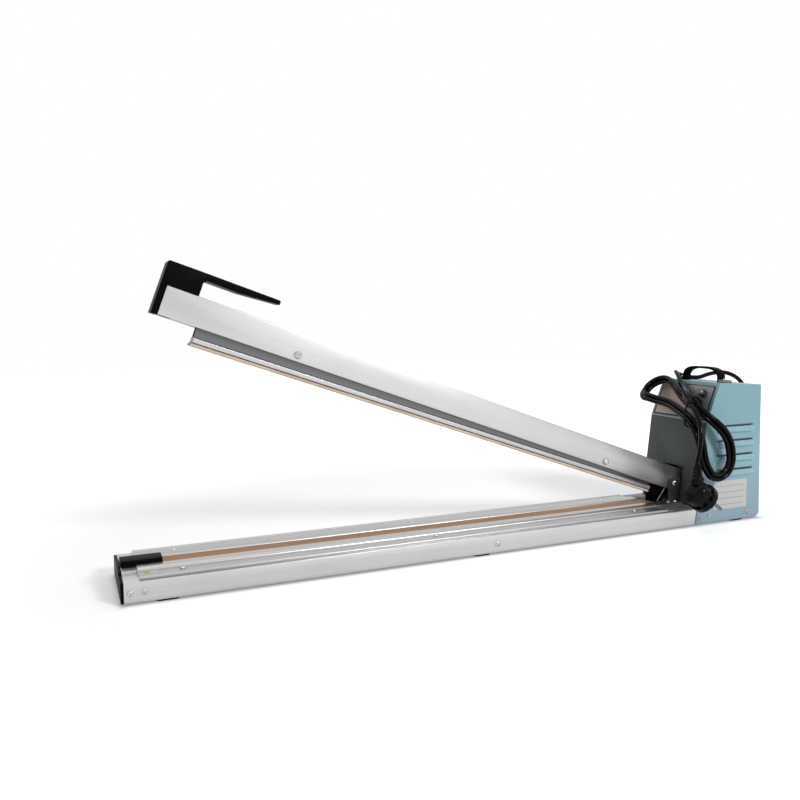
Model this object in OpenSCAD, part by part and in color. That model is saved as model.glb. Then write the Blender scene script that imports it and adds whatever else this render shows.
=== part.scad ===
// Hand impulse sealer with a long side-hinged pressing arm, open as it stands.
// Millimetres. +X runs along the base to the housing, -Y is the operator's side, +Z is up.
// The origin is on the floor under the middle of the machine.

/* [Overall] */
// Length from the end cap to the back of the housing
machine_len = 800; // [760:5:860]
// Width of the base
base_w = 104; // [100:1:116]
// Height of the rubber feet
foot_h = 2; // [1.5:0.5:4]
// Clearance between parts that are screwed or slid together
fit_gap = 0.2; // [0.1:0.05:0.3]

/* [Base] */
// Height of the base extrusion at its shoulders
base_h = 20; // [18:1:24]
// Wall of the base extrusion
base_wall = 2.5; // [2:0.5:3]
// Width of the raised middle of the base
plateau_w = 51; // [46:1:54]
// Height of the raised middle above the shoulders
plateau_h = 3; // [2.5:0.5:4]
// Width of the lips under the side walls
lip_w = 12; // [10:1:16]
// Thickness of the end cap's plate
cap_t = 3; // [2:0.5:5]
// How far the end cap plugs into the extrusion
cap_plug = 10; // [6:1:16]
// Length of a foot pad
foot_len = 22; // [16:1:30]
// Width of a foot pad
foot_w = 9; // [6:1:10]

/* [Rails and strip] */
// Distance from the base's left end to the rails
rail_start = 14.5; // [10:0.5:30]
// Distance from the rails' right end to the housing's front
rail_clear = 41.5; // [40:0.5:60]
// Distance from the base's edge to the rail
rail_edge = 3; // [2:0.5:6]
// Thickness of a rail over the base's shoulder
rail_t = 2.9; // [2.4:0.1:3.4]
// Height of the rail's rib above the base's raised middle
rib_h = 2.6; // [2:0.1:3.4]
// Width of the open strip between the rails
strip_gap_w = 21.4; // [18:0.2:26]
// Distance from a rail's end to its outer screws
rail_screw_inset = 41.5; // [20:0.5:80]
// Thickness of the coated cloth over the element
cloth_t = 0.3; // [0.2:0.05:0.5]
// Thickness of the insulating strip under the element
insul_t = 0.6; // [0.4:0.1:1]
// Width of the insulating strip
insul_w = 14; // [10:0.5:18]
// Width of the heating element
element_w = 5; // [2:0.5:8]
// Thickness of the heating element
element_t = 0.2; // [0.1:0.05:0.3]

/* [Terminals] */
// Length of the left terminal cover
left_cover_len = 40; // [34:1:50]
// Height of the left terminal cover above the raised middle
left_cover_h = 6; // [5.5:0.5:9]
// Wall of the left terminal cover
left_cover_wall = 1.6; // [1.2:0.1:2.5]
// Length of a terminal block
terminal_len = 9; // [7:0.5:12]
// Wire diameter of the element's tension spring
tension_wire = 0.8; // [0.6:0.1:1]

/* [Housing] */
// Length of the housing along its foot
housing_len = 108; // [100:1:120]
// Height of the housing's front top edge
housing_h = 182; // [170:1:200]
// Height of the housing's back top edge
housing_back_h = 178; // [166:1:196]
// Height of the bend below the control panel
bend_h = 133; // [120:1:140]
// How far the bend stands back from the foot of the front
bend_back = 16.5; // [8:0.5:24]
// How far the top edge stands back from the foot of the front
top_back = 37; // [28:0.5:50]
// Sheet thickness of the housing
cover_t = 1; // [0.8:0.1:1.5]
// Gap between the housing's foot and the floor
housing_foot = 2.5; // [2:0.5:6]
// Radius of the lower rear corner
rear_corner_r = 8; // [4:1:14]
// Width of the opening that the arm works in
arm_port_w = 40; // [36:1:46]
// Height of the opening's top edge above the floor
arm_port_h = 71; // [70:1:84]

/* [Louvres] */
// Number of louvres on each side
louvre_count = 4; // [2:1:4]
// Length of a louvre
louvre_len = 66; // [40:1:70]
// Height of a louvre
louvre_h = 12; // [8:0.5:14]
// How far a louvre bulges out
louvre_out = 3; // [1.5:0.1:3.4]
// Distance between louvres
louvre_pitch = 19; // [16:0.5:22]
// Height of the top louvre's mouth
louvre_top = 128; // [110:1:140]
// Distance from the foot of the front to the louvres
louvre_x = 31; // [28:1:34]

/* [Rating plate] */
// Distance from the housing's front to the plate
label_front = 29; // [20:1:40]
// Height of the plate's lower edge above the base's lower edge
label_low = 16; // [14:1:24]

/* [Control panel] */
// Width of the panel plate
panel_w = 96; // [84:1:100]
// Distance from the panel plate to the roof's edge
panel_high = 4.8; // [4:0.1:8]
// Thickness of the panel plate
panel_t = 0.8; // [0.5:0.1:1.5]
// Distance from the bend to the panel plate
panel_low = 1.8; // [1:0.1:4]
// Diameter of the timer knob
timer_knob_d = 11; // [10:0.5:12]
// Height of the timer knob
timer_knob_h = 7; // [6:0.5:7.5]
// Diameter of the power knob
power_knob_d = 10; // [9:0.5:12]
// Height of the power knob
power_knob_h = 9; // [7:0.5:12]
// Diameter of the knob shafts
shaft_d = 6; // [5:0.5:6]
// Diameter of the pilot lamp
lamp_d = 5; // [4:0.5:8]

/* [Carry strap] */
// Distance between the strap's ends
strap_span = 71; // [60:1:80]
// Width of the strap
strap_w = 12; // [10:1:18]
// Thickness of the strap
strap_t = 3; // [2.5:0.5:5]
// Height of the strap above the housing
strap_rise = 20; // [16:1:24]
// Distance from the housing's back to the strap
strap_back = 49; // [30:1:52]

/* [Hinge] */
// Distance from the pivot to the foot of the housing's front
pivot_out = 2.5; // [1:0.5:6]
// Opening angle of the arm
open_angle = 20; // [10:1:22]
// Diameter of the pivot pin
pin_d = 6; // [5:0.5:7]
// Radial running clearance on pins
run_gap = 0.05; // [0.03:0.01:0.1]
// Sheet thickness of the hinge bracket
bracket_t = 1.2; // [1:0.1:1.5]
// Thickness of the bracket's ears
ear_t = 2; // [1.5:0.5:2.5]
// Width of an ear
ear_w = 19; // [17:0.5:24]
// Wire diameter of the return springs
spring_wire = 1.6; // [1.2:0.1:1.6]
// Mean radius of the return springs' coils
spring_r = 6; // [5.5:0.1:6.2]
// Turns of a return spring
spring_turns = 3; // [2:1:3]

/* [Arm] */
// Width of the arm channel
arm_w = 28; // [27:0.5:31]
// Height of the arm channel
arm_h = 30.2; // [29:0.2:32]
// Wall of the arm channel
arm_wall = 2; // [1.5:0.1:2.2]
// Distance from the base's left end to the closed arm's end
arm_inset = 3.5; // [0:0.5:16]
// How far the arm runs past the pivot
arm_tail = 8; // [6:0.5:9]
// Distance from the pivot down to the arm's lower edge
arm_drop = 9.4; // [8.5:0.1:10]
// Diameter of the guide screws
guide_d = 4; // [3:0.5:4]

/* [Press bar] */
// Distance from the pivot to the press bar's right end
bar_start = 33; // [32:0.5:40]
// Distance from the arm's left end to the press bar
bar_inset = 41; // [38:1:60]
// Distance from the pivot to the guide screw that the bar turns on
bar_pin_x = 115; // [90:1:160]
// Distance from the arm's left end to the guide screw in the slot
bar_slot_inset = 147; // [120:1:200]
// How far the bar hangs out of line with the arm, in degrees
bar_tilt = 0.65; // [0.3:0.05:0.7]
// Width of the press bar's web
bar_web_w = 14; // [10:0.5:16]
// Wall of the press bar's web
bar_wall = 1.7; // [1.2:0.1:1.8]
// Width of the press bar's foot
bar_foot_w = 22; // [19:0.5:23]
// Thickness of the press bar's foot
bar_foot_t = 5.4; // [4:0.2:6]
// Thickness of the silicone strip
silicone_t = 3.3; // [2.5:0.1:4]
// Width of the silicone strip
silicone_w = 20; // [12:0.5:20]
// Thickness of the strip's backing
backing_t = 0.7; // [0.5:0.1:1]
// Distance from the pivot to the pressed face
press_depth = 22.6; // [22.2:0.1:23.2]
// Gap left between the pressed faces when the arm is down
press_gap = 0.3; // [0.2:0.1:0.5]

/* [Handle] */
// Thickness of the handle's end plate
handle_plate_t = 6.5; // [4:0.5:8]
// Height of the handle's top above the pivot
handle_top = 45; // [40:0.5:50]
// Length of the handle's block over the arm
handle_block_len = 32; // [24:1:40]
// Length of the lever beyond the block
lever_len = 83; // [60:1:100]
// Thickness of the lever at its root
lever_root_t = 7; // [5:0.5:9]
// Thickness of the lever at its tip
lever_tip_t = 4.6; // [3:0.2:6]
// Width of the lever at its tip
lever_tip_w = 17; // [12:1:22]

/* [Switch] */
// Length of the limit switch
switch_len = 20; // [16:1:22]
// Thickness of the limit switch
switch_w = 6.4; // [5:0.2:8]
// Height of the limit switch
switch_h = 9.5; // [8:0.5:10]
// Diameter of the switch's plunger
plunger_d = 3.4; // [2.4:0.2:4]
// Travel of the plunger
plunger_travel = 1.8; // [1:0.1:2]

/* [Mains cord and plug] */
// Diameter of the mains cord
cord_d = 6; // [5.5:0.5:8]
// Height of the cord's exit above the floor
gland_h = 120; // [90:1:140]
// How far the cord's exit is off the middle
gland_y = 30; // [10:1:36]
// Length of the tapered strain relief
relief_len = 22; // [20:1:22]
// Diameter of the plug's face
plug_d = 37; // [34:0.5:40]
// Depth of the plug's body
plug_len = 27; // [24:1:34]
// Diameter of a plug pin
plug_pin_d = 4.8; // [4:0.1:5]
// Length of a plug pin
plug_pin_len = 19; // [17:0.5:20]

/* [Inside the housing] */
// Distance from the housing's front to the transformer
core_inset = 29; // [27:1:32]
// Length of the transformer's core
core_len = 64; // [50:1:66]
// Height of the transformer's core
core_h = 54; // [44:1:60]
// Thickness of the transformer's core
core_t = 36; // [24:1:44]
// Diameter of the timer and power controls' bodies
control_d = 12.5; // [10:0.5:13]
// Depth of the controls' bodies
control_len = 10; // [8:0.5:12]
// Thickness of the timer's circuit board
board_t = 1.6; // [1.2:0.2:2]

/* [Fasteners] */
// Diameter of the small screws
screw_d = 3; // [2.5:0.5:3.5]
// Diameter of the small screws' heads
screw_head_d = 6; // [5:0.5:7]
// Height of the small screws' heads
screw_head_h = 1.8; // [1.2:0.1:2.4]
// Length of the small screws' shanks
screw_len = 5; // [4:0.5:6]
// Distance from the base's left end to the end cap's screws
cap_screw_x = 5.6; // [5:0.1:8]
// Distance between the two screws at the left end
cap_screw_pitch = 12.9; // [10:0.1:20]
// Distance from the front of the housing to its first screw
cover_screw_front = 22; // [12:0.5:30]
// Distance from the back of the housing to its last screw
cover_screw_back = 20; // [16:0.5:30]
// Height of the side screws above the base's lower edge
side_screw_h = 9.4; // [8:0.1:11]

/* [Hidden] */

$fn = 48;
cut = 0.5;
x_left = -machine_len / 2;
x_right = machine_len / 2;
base_x0 = x_left + cap_t;
base_x1 = x_right - rear_corner_r - cover_t - fit_gap;
base_top = foot_h + base_h;
plateau_z = base_top + plateau_h;
lip_t = base_wall;

rail_x0 = base_x0 + rail_start;
rail_x1 = x_right - housing_len - rail_clear;
rail_outer = base_w / 2 - rail_edge;
rail_inner = strip_gap_w / 2;
rail_step = plateau_w / 2 + fit_gap;
rail_flat = [rail_step + 2.7, rail_outer - 5.2];
rail_screw_y = rail_flat[0] + 0.4 * (rail_flat[1] - rail_flat[0]);
rail_screw_x = [rail_x0 + rail_screw_inset, (rail_x0 + rail_x1) / 2, rail_x1 - rail_screw_inset];
rail_tuck = 4.5;

insul_z = plateau_z + insul_t;
element_z = insul_z + element_t;
cloth_z = element_z + cloth_t;

housing_x0 = x_right - housing_len;
bend_x = housing_x0 + bend_back;
top_x = housing_x0 + top_back;
cover_w = base_w + 2 * (fit_gap + cover_t);
inner_w = base_w + 2 * fit_gap;
slope_angle = atan2(housing_h - bend_h, top_back - bend_back);
slope_len = norm([housing_h - bend_h, top_back - bend_back]);
panel_len = slope_len - panel_low - panel_high;
front_angle = atan2(bend_h - housing_foot, bend_back);
roof_angle = atan2(housing_h - housing_back_h, x_right - top_x);

pivot_x = housing_x0 - pivot_out;
pivot_z = cloth_z + press_gap + press_depth;
ear_y = arm_w / 2 + 3 * fit_gap;
ear_r = ear_w / 2;
bracket_x0 = rail_x1 + 1;
bracket_x1 = pivot_x + 11;
bracket_z = plateau_z + bracket_t;
bracket_screw_x = [pivot_x - 14, pivot_x - 3];
bracket_screw_y = ear_y + ear_t + 4.2;

lug_w = 16;
lug_reach = 33;
lug_left = bar_start - 1.5;
slot_x0 = pivot_x - 28;
slot_x1 = pivot_x - 0.5;
slot_w = lug_w + 2;
cloth_x0 = base_x0 + left_cover_len + fit_gap;
cloth_x1 = slot_x0 - 2.5;
element_x0 = base_x0 + 25;
element_x1 = cloth_x1 - 1.5;

hub_w = 10;
arm_reach = pivot_x - base_x0 - arm_inset;
arm_top = arm_h - arm_drop;
arm_in_w = arm_w - 2 * arm_wall;
web_z = arm_top - arm_wall;

bar_x0 = arm_reach - bar_inset;
bar_slot_x = arm_reach - bar_slot_inset;
bar_pin_z = -2.2;
silicone_top = -press_depth + silicone_t;
foot_bottom = silicone_top + backing_t;
foot_top = foot_bottom + bar_foot_t;
slot_rise = (bar_slot_x - bar_pin_x) * sin(bar_tilt);
bar_top = bar_pin_z + slot_rise + guide_d / 2 + 2;
press_spring_x = [bar_pin_x + 135, bar_slot_x - 56];
press_spring_r = 4.5;
press_spring_wire = 1;

timer_at = [-(base_w / 2 - 23.3), 24];
power_at = [-(base_w / 2 - 20.6), 37];
lamp_at = [-(base_w / 2 - 43.9), 38];

strap_screw_y = strap_span / 2 + 3;
strap_x = x_right - strap_back;
strap_roof = housing_h - (strap_x - top_x) * tan(roof_angle);

label_size = [housing_len - label_front - 23, 37];

// Screw sizes that several parts share
hole_d = screw_d + 2 * run_gap;

// Route of the lead over the housing, from the strain relief to the hank
lead_route = [[422, 30, 120], [434, 30, 120], [448, 31, 123], [460, 32, 132], [466, 34, 146], [465, 36, 161],
    [456, 38, 175], [442, 40, 184], [425, 43, 188], [406, 46, 186], [388, 47, 182], [370, 48, 183],
    [354, 48, 187], [341, 42, 191], [331, 29, 191], [323, 14, 184], [316, 1, 177], [308, -12, 173],
    [300, -24, 171], [294, -36, 168], [292, -48, 162], [294, -57, 152]];
// Route of the middle of the hank's turns, once round
hank_route = [[298, -60, 145], [307, -67, 135], [319, -69, 124], [328, -69, 111], [333, -68, 97], [334, -67, 83],
    [328, -67, 71], [316, -67, 65], [303, -67, 68], [294, -67, 79], [289, -67, 93], [286, -67, 107],
    [283, -65, 120], [283, -56, 132], [286, -40, 140], [290, -21, 146], [293, -4, 151], [293, 11, 154],
    [291, 24, 156], [290, 35, 158], [291, 45, 159], [296, 53, 163], [303, 56, 169], [311, 55, 175],
    [317, 48, 180], [319, 39, 182], [318, 28, 181], [314, 17, 178], [310, 6, 174], [305, -6, 169],
    [301, -19, 163], [298, -33, 157], [297, -47, 152]];
hank_r = 6.4;
// Route from the hank to the plug
plug_route = [[290, -34, 161], [285, -49, 156], [281, -63, 146], [278, -73, 133], [275, -78, 119], [274, -78, 106],
    [275, -75, 96], [275, -73, 90], [275, -73, 84]];
// Loop of wire round the hank at the housing's corner
tie_route = [[282, -47, 160], [288, -47, 165], [295, -47, 166], [302, -47, 160], [305, -47, 151],
    [301, -47, 142], [293, -47, 131], [284, -47, 128], [277, -47, 133], [277, -47, 145]];
plug_top = plug_route[len(plug_route) - 1];
plug_at = [276, -73, 48];
plug_axis = 36;

function unit(v) = v / norm(v);
function line_meet(p, u, q, v) = p + u * cross(q - p, v) / cross(u, v);
function left_of(u) = [-u.y, u.x];
// Moves every edge of a counter-clockwise outline inwards by d
function inset(pts, d) = [for (i = [0 : len(pts) - 1])
    let (a = pts[(i + len(pts) - 1) % len(pts)], b = pts[i], c = pts[(i + 1) % len(pts)],
        u = unit(b - a), v = unit(c - b))
    line_meet(b + d * left_of(u), u, b + d * left_of(v), v)];
function arc(c, rx, ry, a0, a1, n) = [for (i = [0 : n])
    let (a = a0 + (a1 - a0) * i / n) c + [rx * cos(a), ry * sin(a)]];
function flip(pts) = [for (i = [len(pts) - 1 : -1 : 0]) [-pts[i].x, pts[i].y]];

// Frames carried along a route with as little twist as the route allows
function tangent(p, i, loop) = let (n = len(p))
    unit(p[loop ? (i + 1) % n : min(i + 1, n - 1)] - p[loop ? (i + n - 1) % n : max(i - 1, 0)]);
function carried(p, loop, i, m) = i >= len(p) ? [] :
    let (t = tangent(p, i, loop), k = unit(m - (m * t) * t)) concat([k], carried(p, loop, i + 1, k));
function side_of(p, loop) = let (t = tangent(p, 0, loop))
    carried(p, loop, 0, abs(t.z) < 0.9 ? [0, 0, 1] : [1, 0, 0]);
function skin(p, r, sides, loop) = let (k = side_of(p, loop))
    [for (i = [0 : len(p) - 1], j = [0 : sides - 1])
        let (t = tangent(p, i, loop), a = 360 * j / sides)
        p[i] + r * (cos(a) * k[i] + sin(a) * cross(t, k[i]))];

module tube(p, r, sides, loop = false) {
    n = len(p);
    last = loop ? n - 1 : n - 2;
    walls = [for (i = [0 : last], j = [0 : sides - 1])
        let (k = (j + 1) % sides, b = (i + 1) % n * sides, a = i * sides)
        [a + j, b + j, b + k, a + k]];
    ends = loop ? [] : [[for (j = [0 : sides - 1]) j], [for (j = [sides - 1 : -1 : 0]) (n - 1) * sides + j]];
    polyhedron(skin(p, r, sides, loop), concat(walls, ends));
}

module along_x(x0, x1) {
    translate([x0, 0, 0]) rotate([90, 0, 90]) linear_extrude(x1 - x0) children();
}

module along_y(w) {
    rotate([90, 0, 0]) linear_extrude(w, center = true) children();
}

module stadium(l, w) {
    square([l - w, w], center = true);
    for (s = [-1, 1]) translate([s * (l - w) / 2, 0]) circle(d = w);
}

// Block between two corners
module block(a, b) {
    translate(a) cube(b - a);
}

// Pan head screw: the head stands on z = 0 and the shank goes down
module screw(head_d = screw_head_d, head_h = screw_head_h, d = screw_d, l = screw_len) {
    rotate_extrude($fn = 32) polygon(concat([[0, -l], [d / 2, -l], [d / 2, 0], [head_d / 2, 0]],
        arc([head_d / 2 - head_h * 0.8, 0], head_h * 0.8, head_h, 20, 90, 4), [[0, head_h]]));
}

module screw_hole(d = hole_d, l = screw_len) {
    translate([0, 0, -l - fit_gap]) cylinder(d = d, h = l + 2 * fit_gap + cut, $fn = 32);
}

// Places on both long sides, with +z pointing out of the side
module on_sides(half_w, spots) {
    for (s = [-1, 1], p = spots) translate([p[0], s * half_w, p[1]]) rotate([-90 * s, 0, 0]) children();
}

// Frame of the arm as it stands: the pivot is the origin and -X runs along the arm
module at_arm() {
    translate([pivot_x, 0, pivot_z]) rotate([0, open_angle, 0]) children();
}

// Frame of the press bar, in the arm's own measures
module at_bar() {
    at_arm() translate([-bar_pin_x, 0, bar_pin_z]) rotate([0, -bar_tilt, 0])
        translate([bar_pin_x, 0, -bar_pin_z]) children();
}

// Frame of the control slope: x up the slope, y across, z out of it
module on_slope(at = [0, 0]) {
    translate([bend_x, 0, bend_h]) rotate([0, -slope_angle, 0]) translate([at[1], at[0], 0]) children();
}

// Frame on the roof at the carry strap, with z square to the roof
module on_roof() {
    translate([strap_x, 0, strap_roof]) rotate([0, roof_angle, 0]) children();
}

module base_outline() {
    polygon([[-base_w / 2, foot_h], [base_w / 2, foot_h], [base_w / 2, base_top], [plateau_w / 2, base_top],
        [plateau_w / 2, plateau_z], [-plateau_w / 2, plateau_z], [-plateau_w / 2, base_top],
        [-base_w / 2, base_top]]);
}

module base_bore(gap = 0) {
    w = base_w / 2 - base_wall - gap;
    p = plateau_w / 2 - base_wall - gap;
    polygon([[-w, foot_h + lip_t + gap], [w, foot_h + lip_t + gap], [w, base_top - base_wall - gap],
        [p, base_top - base_wall - gap], [p, plateau_z - base_wall - gap], [-p, plateau_z - base_wall - gap],
        [-p, base_top - base_wall - gap], [-w, base_top - base_wall - gap]]);
}

side_screw_z = foot_h + side_screw_h;
base_screw_spots = [[base_x0 + cap_screw_x, side_screw_z], [base_x0 + cap_screw_x + cap_screw_pitch, side_screw_z],
    [3.5, side_screw_z]];
cover_screw_spots = [[housing_x0 + cover_screw_front, side_screw_z - 0.5], [x_right - cover_screw_back, side_screw_z - 0.5]];
core_x0 = housing_x0 + core_inset;
core_foot_w = core_t + 24;
transformer_screw_spots = [for (x = [core_x0 + screw_head_d, core_x0 + core_len - screw_head_d], s = [1, -1])
    [x, s * (core_foot_w / 2 - screw_head_d)]];

module rail_screw_places() {
    for (x = rail_screw_x, s = [-1, 1]) translate([x, s * rail_screw_y, base_top + rail_t]) children();
}

module bracket_screw_places() {
    for (x = bracket_screw_x, s = [-1, 1]) translate([x, s * bracket_screw_y, bracket_z]) children();
}

module base_body() {
    color("silver") difference() {
        along_x(base_x0, base_x1) difference() {
            base_outline();
            base_bore();
            translate([0, foot_h + lip_t / 2]) square([base_w - 2 * lip_w, lip_t + cut], center = true);
        }
        block([slot_x0, -slot_w / 2, plateau_z - base_wall - cut], [slot_x1, slot_w / 2, plateau_z + cut]);
        block([element_x1 - 1, -element_w / 2 - fit_gap, plateau_z - base_wall - cut],
            [element_x1 + 1, element_w / 2 + fit_gap, plateau_z + cut]);
        rail_screw_places() screw_hole();
        bracket_screw_places() screw_hole();
        on_sides(base_w / 2, base_screw_spots) screw_hole();
        on_sides(base_w / 2, cover_screw_spots) screw_hole();
        for (p = transformer_screw_spots) translate([p[0], p[1], plateau_z]) screw_hole();
        translate([base_x0 + terminal_len / 2 + 3, 0, plateau_z]) screw_hole();
        translate([lug_x, switch_screw_y, plateau_z - base_wall]) rotate([180, 0, 0]) screw_hole(l = base_wall + 1);
    }
}

module end_cap() {
    color([0.07, 0.07, 0.07]) {
        along_x(x_left, base_x0) base_outline();
        difference() {
            along_x(base_x0, base_x0 + cap_plug) base_bore(fit_gap);
            along_x(base_x0 - cut, base_x0 + cap_plug + cut) base_bore(3);
            on_sides(base_w / 2, base_screw_spots) screw_hole(d = screw_d + 2, l = screw_len + base_wall);
            block([base_x0 + 3, -4, plateau_z - 8], [base_x0 + cap_plug + cut, 4, plateau_z]);
        }
    }
}

// Section of the front rail: lip, flat for the screws, rounded step and rib
rail_section = concat(
    [[-rail_outer, base_top], [-rail_step, base_top], [-rail_step, plateau_z],
        [-rail_inner - rail_tuck, plateau_z], [-rail_inner - rail_tuck, plateau_z + cloth_t],
        [-rail_inner, plateau_z + cloth_t]],
    arc([-rail_inner - 1.2, plateau_z + rib_h - 2.1], 1.2, 1.4, 0, 90, 4),
    arc([-rail_flat[0] + 6.2, base_top + rail_t], 6.2, plateau_h + rib_h - rail_t, 90, 180, 8),
    [[-rail_flat[1], base_top + rail_t], [-rail_flat[1] - 0.7, base_top + rail_t + 0.5]],
    arc([-rail_outer + 1, base_top + rail_t - 0.5], 1, 1, 90, 180, 4));

module rail(section) {
    color("lightgray") difference() {
        along_x(rail_x0, rail_x1) polygon(section);
        rail_screw_places() screw_hole();
    }
}

module front_rail() {
    rail(rail_section);
}

module rear_rail() {
    rail(flip(rail_section));
}

module rail_screws() {
    color("gainsboro") rail_screw_places() screw();
}

module insulation_strip() {
    color("wheat") difference() {
        block([cloth_x0, -insul_w / 2, plateau_z], [cloth_x1 - 3, insul_w / 2, insul_z]);
    }
}

module heating_element() {
    color("dimgray") {
        block([element_x0, -element_w / 2, insul_z], [element_x1, element_w / 2, element_z]);
        block([element_x1 - element_t, -element_w / 2, foot_h + 8], [element_x1, element_w / 2, element_z]);
    }
}

// Cloth over the element: flat on top, turned down and tucked under both rails
module ptfe_cloth() {
    flat = insul_w / 2 + 0.3;
    edge = rail_inner - 0.6;
    tuck = rail_inner + rail_tuck - 0.5;
    top = [[-tuck, plateau_z], [-edge, plateau_z], [-flat, element_z], [flat, element_z], [edge, plateau_z],
        [tuck, plateau_z]];
    color([0.6, 0.42, 0.26]) along_x(cloth_x0, cloth_x1)
        polygon(concat(top, [for (i = [len(top) - 1 : -1 : 0]) top[i] + [0, cloth_t - 0.02]]));
}

module left_terminal_cover() {
    w = rail_inner - fit_gap;
    color([0.05, 0.05, 0.05]) difference() {
        along_x(base_x0, base_x0 + left_cover_len) polygon(concat(
            [[-w, plateau_z], [w, plateau_z]],
            arc([w - 1.5, plateau_z + left_cover_h - 1.5], 1.5, 1.5, 0, 90, 4),
            arc([-w + 1.5, plateau_z + left_cover_h - 1.5], 1.5, 1.5, 90, 180, 4)));
        block([base_x0 + left_cover_wall, -w + left_cover_wall, plateau_z - cut],
            [base_x0 + left_cover_len - left_cover_wall, w - left_cover_wall,
            plateau_z + left_cover_h - left_cover_wall]);
        block([base_x0 + left_cover_len - left_cover_wall - cut, -element_w / 2 - 1, plateau_z - cut],
            [base_x0 + left_cover_len + cut, element_w / 2 + 1, element_z + fit_gap]);
    }
}

module left_terminal() {
    x = base_x0 + terminal_len / 2 + 3;
    color("goldenrod") {
        difference() {
            block([x - terminal_len / 2, -3.5, plateau_z], [x + terminal_len / 2, 3.5, plateau_z + 1.6]);
            translate([x, 0, plateau_z]) cylinder(d = hole_d, h = 10, center = true);
        }
        translate([x, 0, plateau_z + 1.6]) screw(head_d = 5, head_h = 1.4, l = 5);
    }
}

// Coil that keeps the element tight as it grows hot
module element_spring() {
    r = 1.4;
    turns = 7;
    z = plateau_z + tension_wire / 2 + r + 0.1;
    x0 = base_x0 + 3 + terminal_len;
    l = element_x0 - x0;
    steps = 12 * turns;
    color("silver") tube([for (i = [0 : steps])
        [x0 + tension_wire / 2 + (l - tension_wire) * i / steps, r * cos(30 * i), z + r * sin(30 * i)]],
        tension_wire / 2, 6);
}

module right_terminal() {
    color("goldenrod") {
        block([element_x1, -4, foot_h + 7], [element_x1 + 6, 4, foot_h + 15]);
        translate([element_x1 - element_t, 0, foot_h + 11]) rotate([0, -90, 0])
            cylinder(d = 5, h = 1.6);
    }
}

foot_spots = [[base_x0 + 40, 1], [base_x0 + 40, -1], [-15, 1], [-15, -1], [x_right - 36, 1], [x_right - 36, -1]];

module rubber_feet() {
    color([0.08, 0.08, 0.08]) for (p = foot_spots)
        translate([p[0], p[1] * (base_w / 2 - lip_w / 2), 0]) linear_extrude(foot_h) stadium(foot_len, foot_w);
}

module base_screws() {
    color("silver") on_sides(base_w / 2, base_screw_spots) screw();
}

module bracket_plate_outline() {
    w = rail_outer + 1;
    s = plateau_w / 2 + bracket_t;
    polygon([[-w, base_top], [-plateau_w / 2, base_top], [-plateau_w / 2, plateau_z], [plateau_w / 2, plateau_z],
        [plateau_w / 2, base_top], [w, base_top], [w, base_top + bracket_t], [s, base_top + bracket_t],
        [s, bracket_z], [-s, bracket_z], [-s, base_top + bracket_t], [-w, base_top + bracket_t]]);
}

// Bent plate over the base's end with the two ears that carry the arm
module pivot_bracket() {
    color([0.16, 0.16, 0.17]) difference() {
        union() {
            along_x(bracket_x0, bracket_x1) bracket_plate_outline();
            for (s = [-1, 1]) translate([0, s * (ear_y + ear_t / 2), 0]) along_y(ear_t) {
                translate([pivot_x - ear_r, bracket_z - bracket_t / 2])
                    square([ear_w, pivot_z - bracket_z + bracket_t / 2]);
                translate([pivot_x, pivot_z]) circle(r = ear_r);
            }
        }
        translate([pivot_x, 0, pivot_z]) rotate([90, 0, 0])
            cylinder(r = pin_d / 2 + run_gap, h = base_w, center = true);
        block([bracket_x0 - cut, -strip_gap_w / 2 - rail_tuck, base_top + cut],
            [cloth_x1 + 1, strip_gap_w / 2 + rail_tuck, bracket_z + cut]);
        block([cloth_x1, -slot_w / 2, base_top], [slot_x1, slot_w / 2, bracket_z + cut]);
        bracket_screw_places() screw_hole();
    }
}

module bracket_screws() {
    color("gainsboro") bracket_screw_places() screw();
}

module pivot_pin() {
    half = ear_y + ear_t;
    color("silver") translate([pivot_x, 0, pivot_z]) rotate([90, 0, 0]) {
        cylinder(d = pin_d, h = 2 * half + 2 * fit_gap, center = true);
        for (s = [0, 180]) rotate([s, 0, 0]) translate([0, 0, half + fit_gap])
            screw(head_d = pin_d + 3, head_h = 2.4, d = pin_d, l = 1);
    }
}

// One spring on each side of the hub: a close coil on the pin, a leg to the bracket and one under the arm
module return_spring() {
    steps = 14 * spring_turns;
    pitch = spring_wire + 0.05;
    down = 233;
    rise = 45;
    a0 = down - 90;
    sweep = (a0 - 270 + open_angle + rise + 360) % 360;
    a1 = a0 - 360 * (spring_turns - 1) - sweep;
    y0 = arm_in_w / 2 - spring_wire / 2 - 0.15;
    low = (spring_r * sin(a0) + pivot_z - bracket_z - spring_wire / 2 - 0.1) / -sin(down);
    high = (web_z - spring_wire / 2 - 0.1 + spring_r * cos(rise)) / sin(rise);
    coil = [for (i = [0 : steps]) let (a = a0 + (a1 - a0) * i / steps)
        [spring_r * cos(a), y0 - pitch * (a0 - a) / 360, spring_r * sin(a)]];
    foot = coil[0] + low * [cos(down), 0, sin(down)];
    tip = coil[steps] + high * [sin(a1), 0, -cos(a1)];
    translate([pivot_x, 0, pivot_z]) tube(concat([foot], coil, [tip]), spring_wire / 2, 8);
}

module return_springs() {
    color("gainsboro") {
        return_spring();
        mirror([0, 1, 0]) return_spring();
    }
}

lug_x = pivot_x - 10.5;
plunger_low = pivot_z - lug_reach - 0.15;
plunger_top = plunger_low + plunger_travel;
switch_top = plunger_low - 1;
switch_screw_y = slot_w / 2 + 6;

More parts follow.
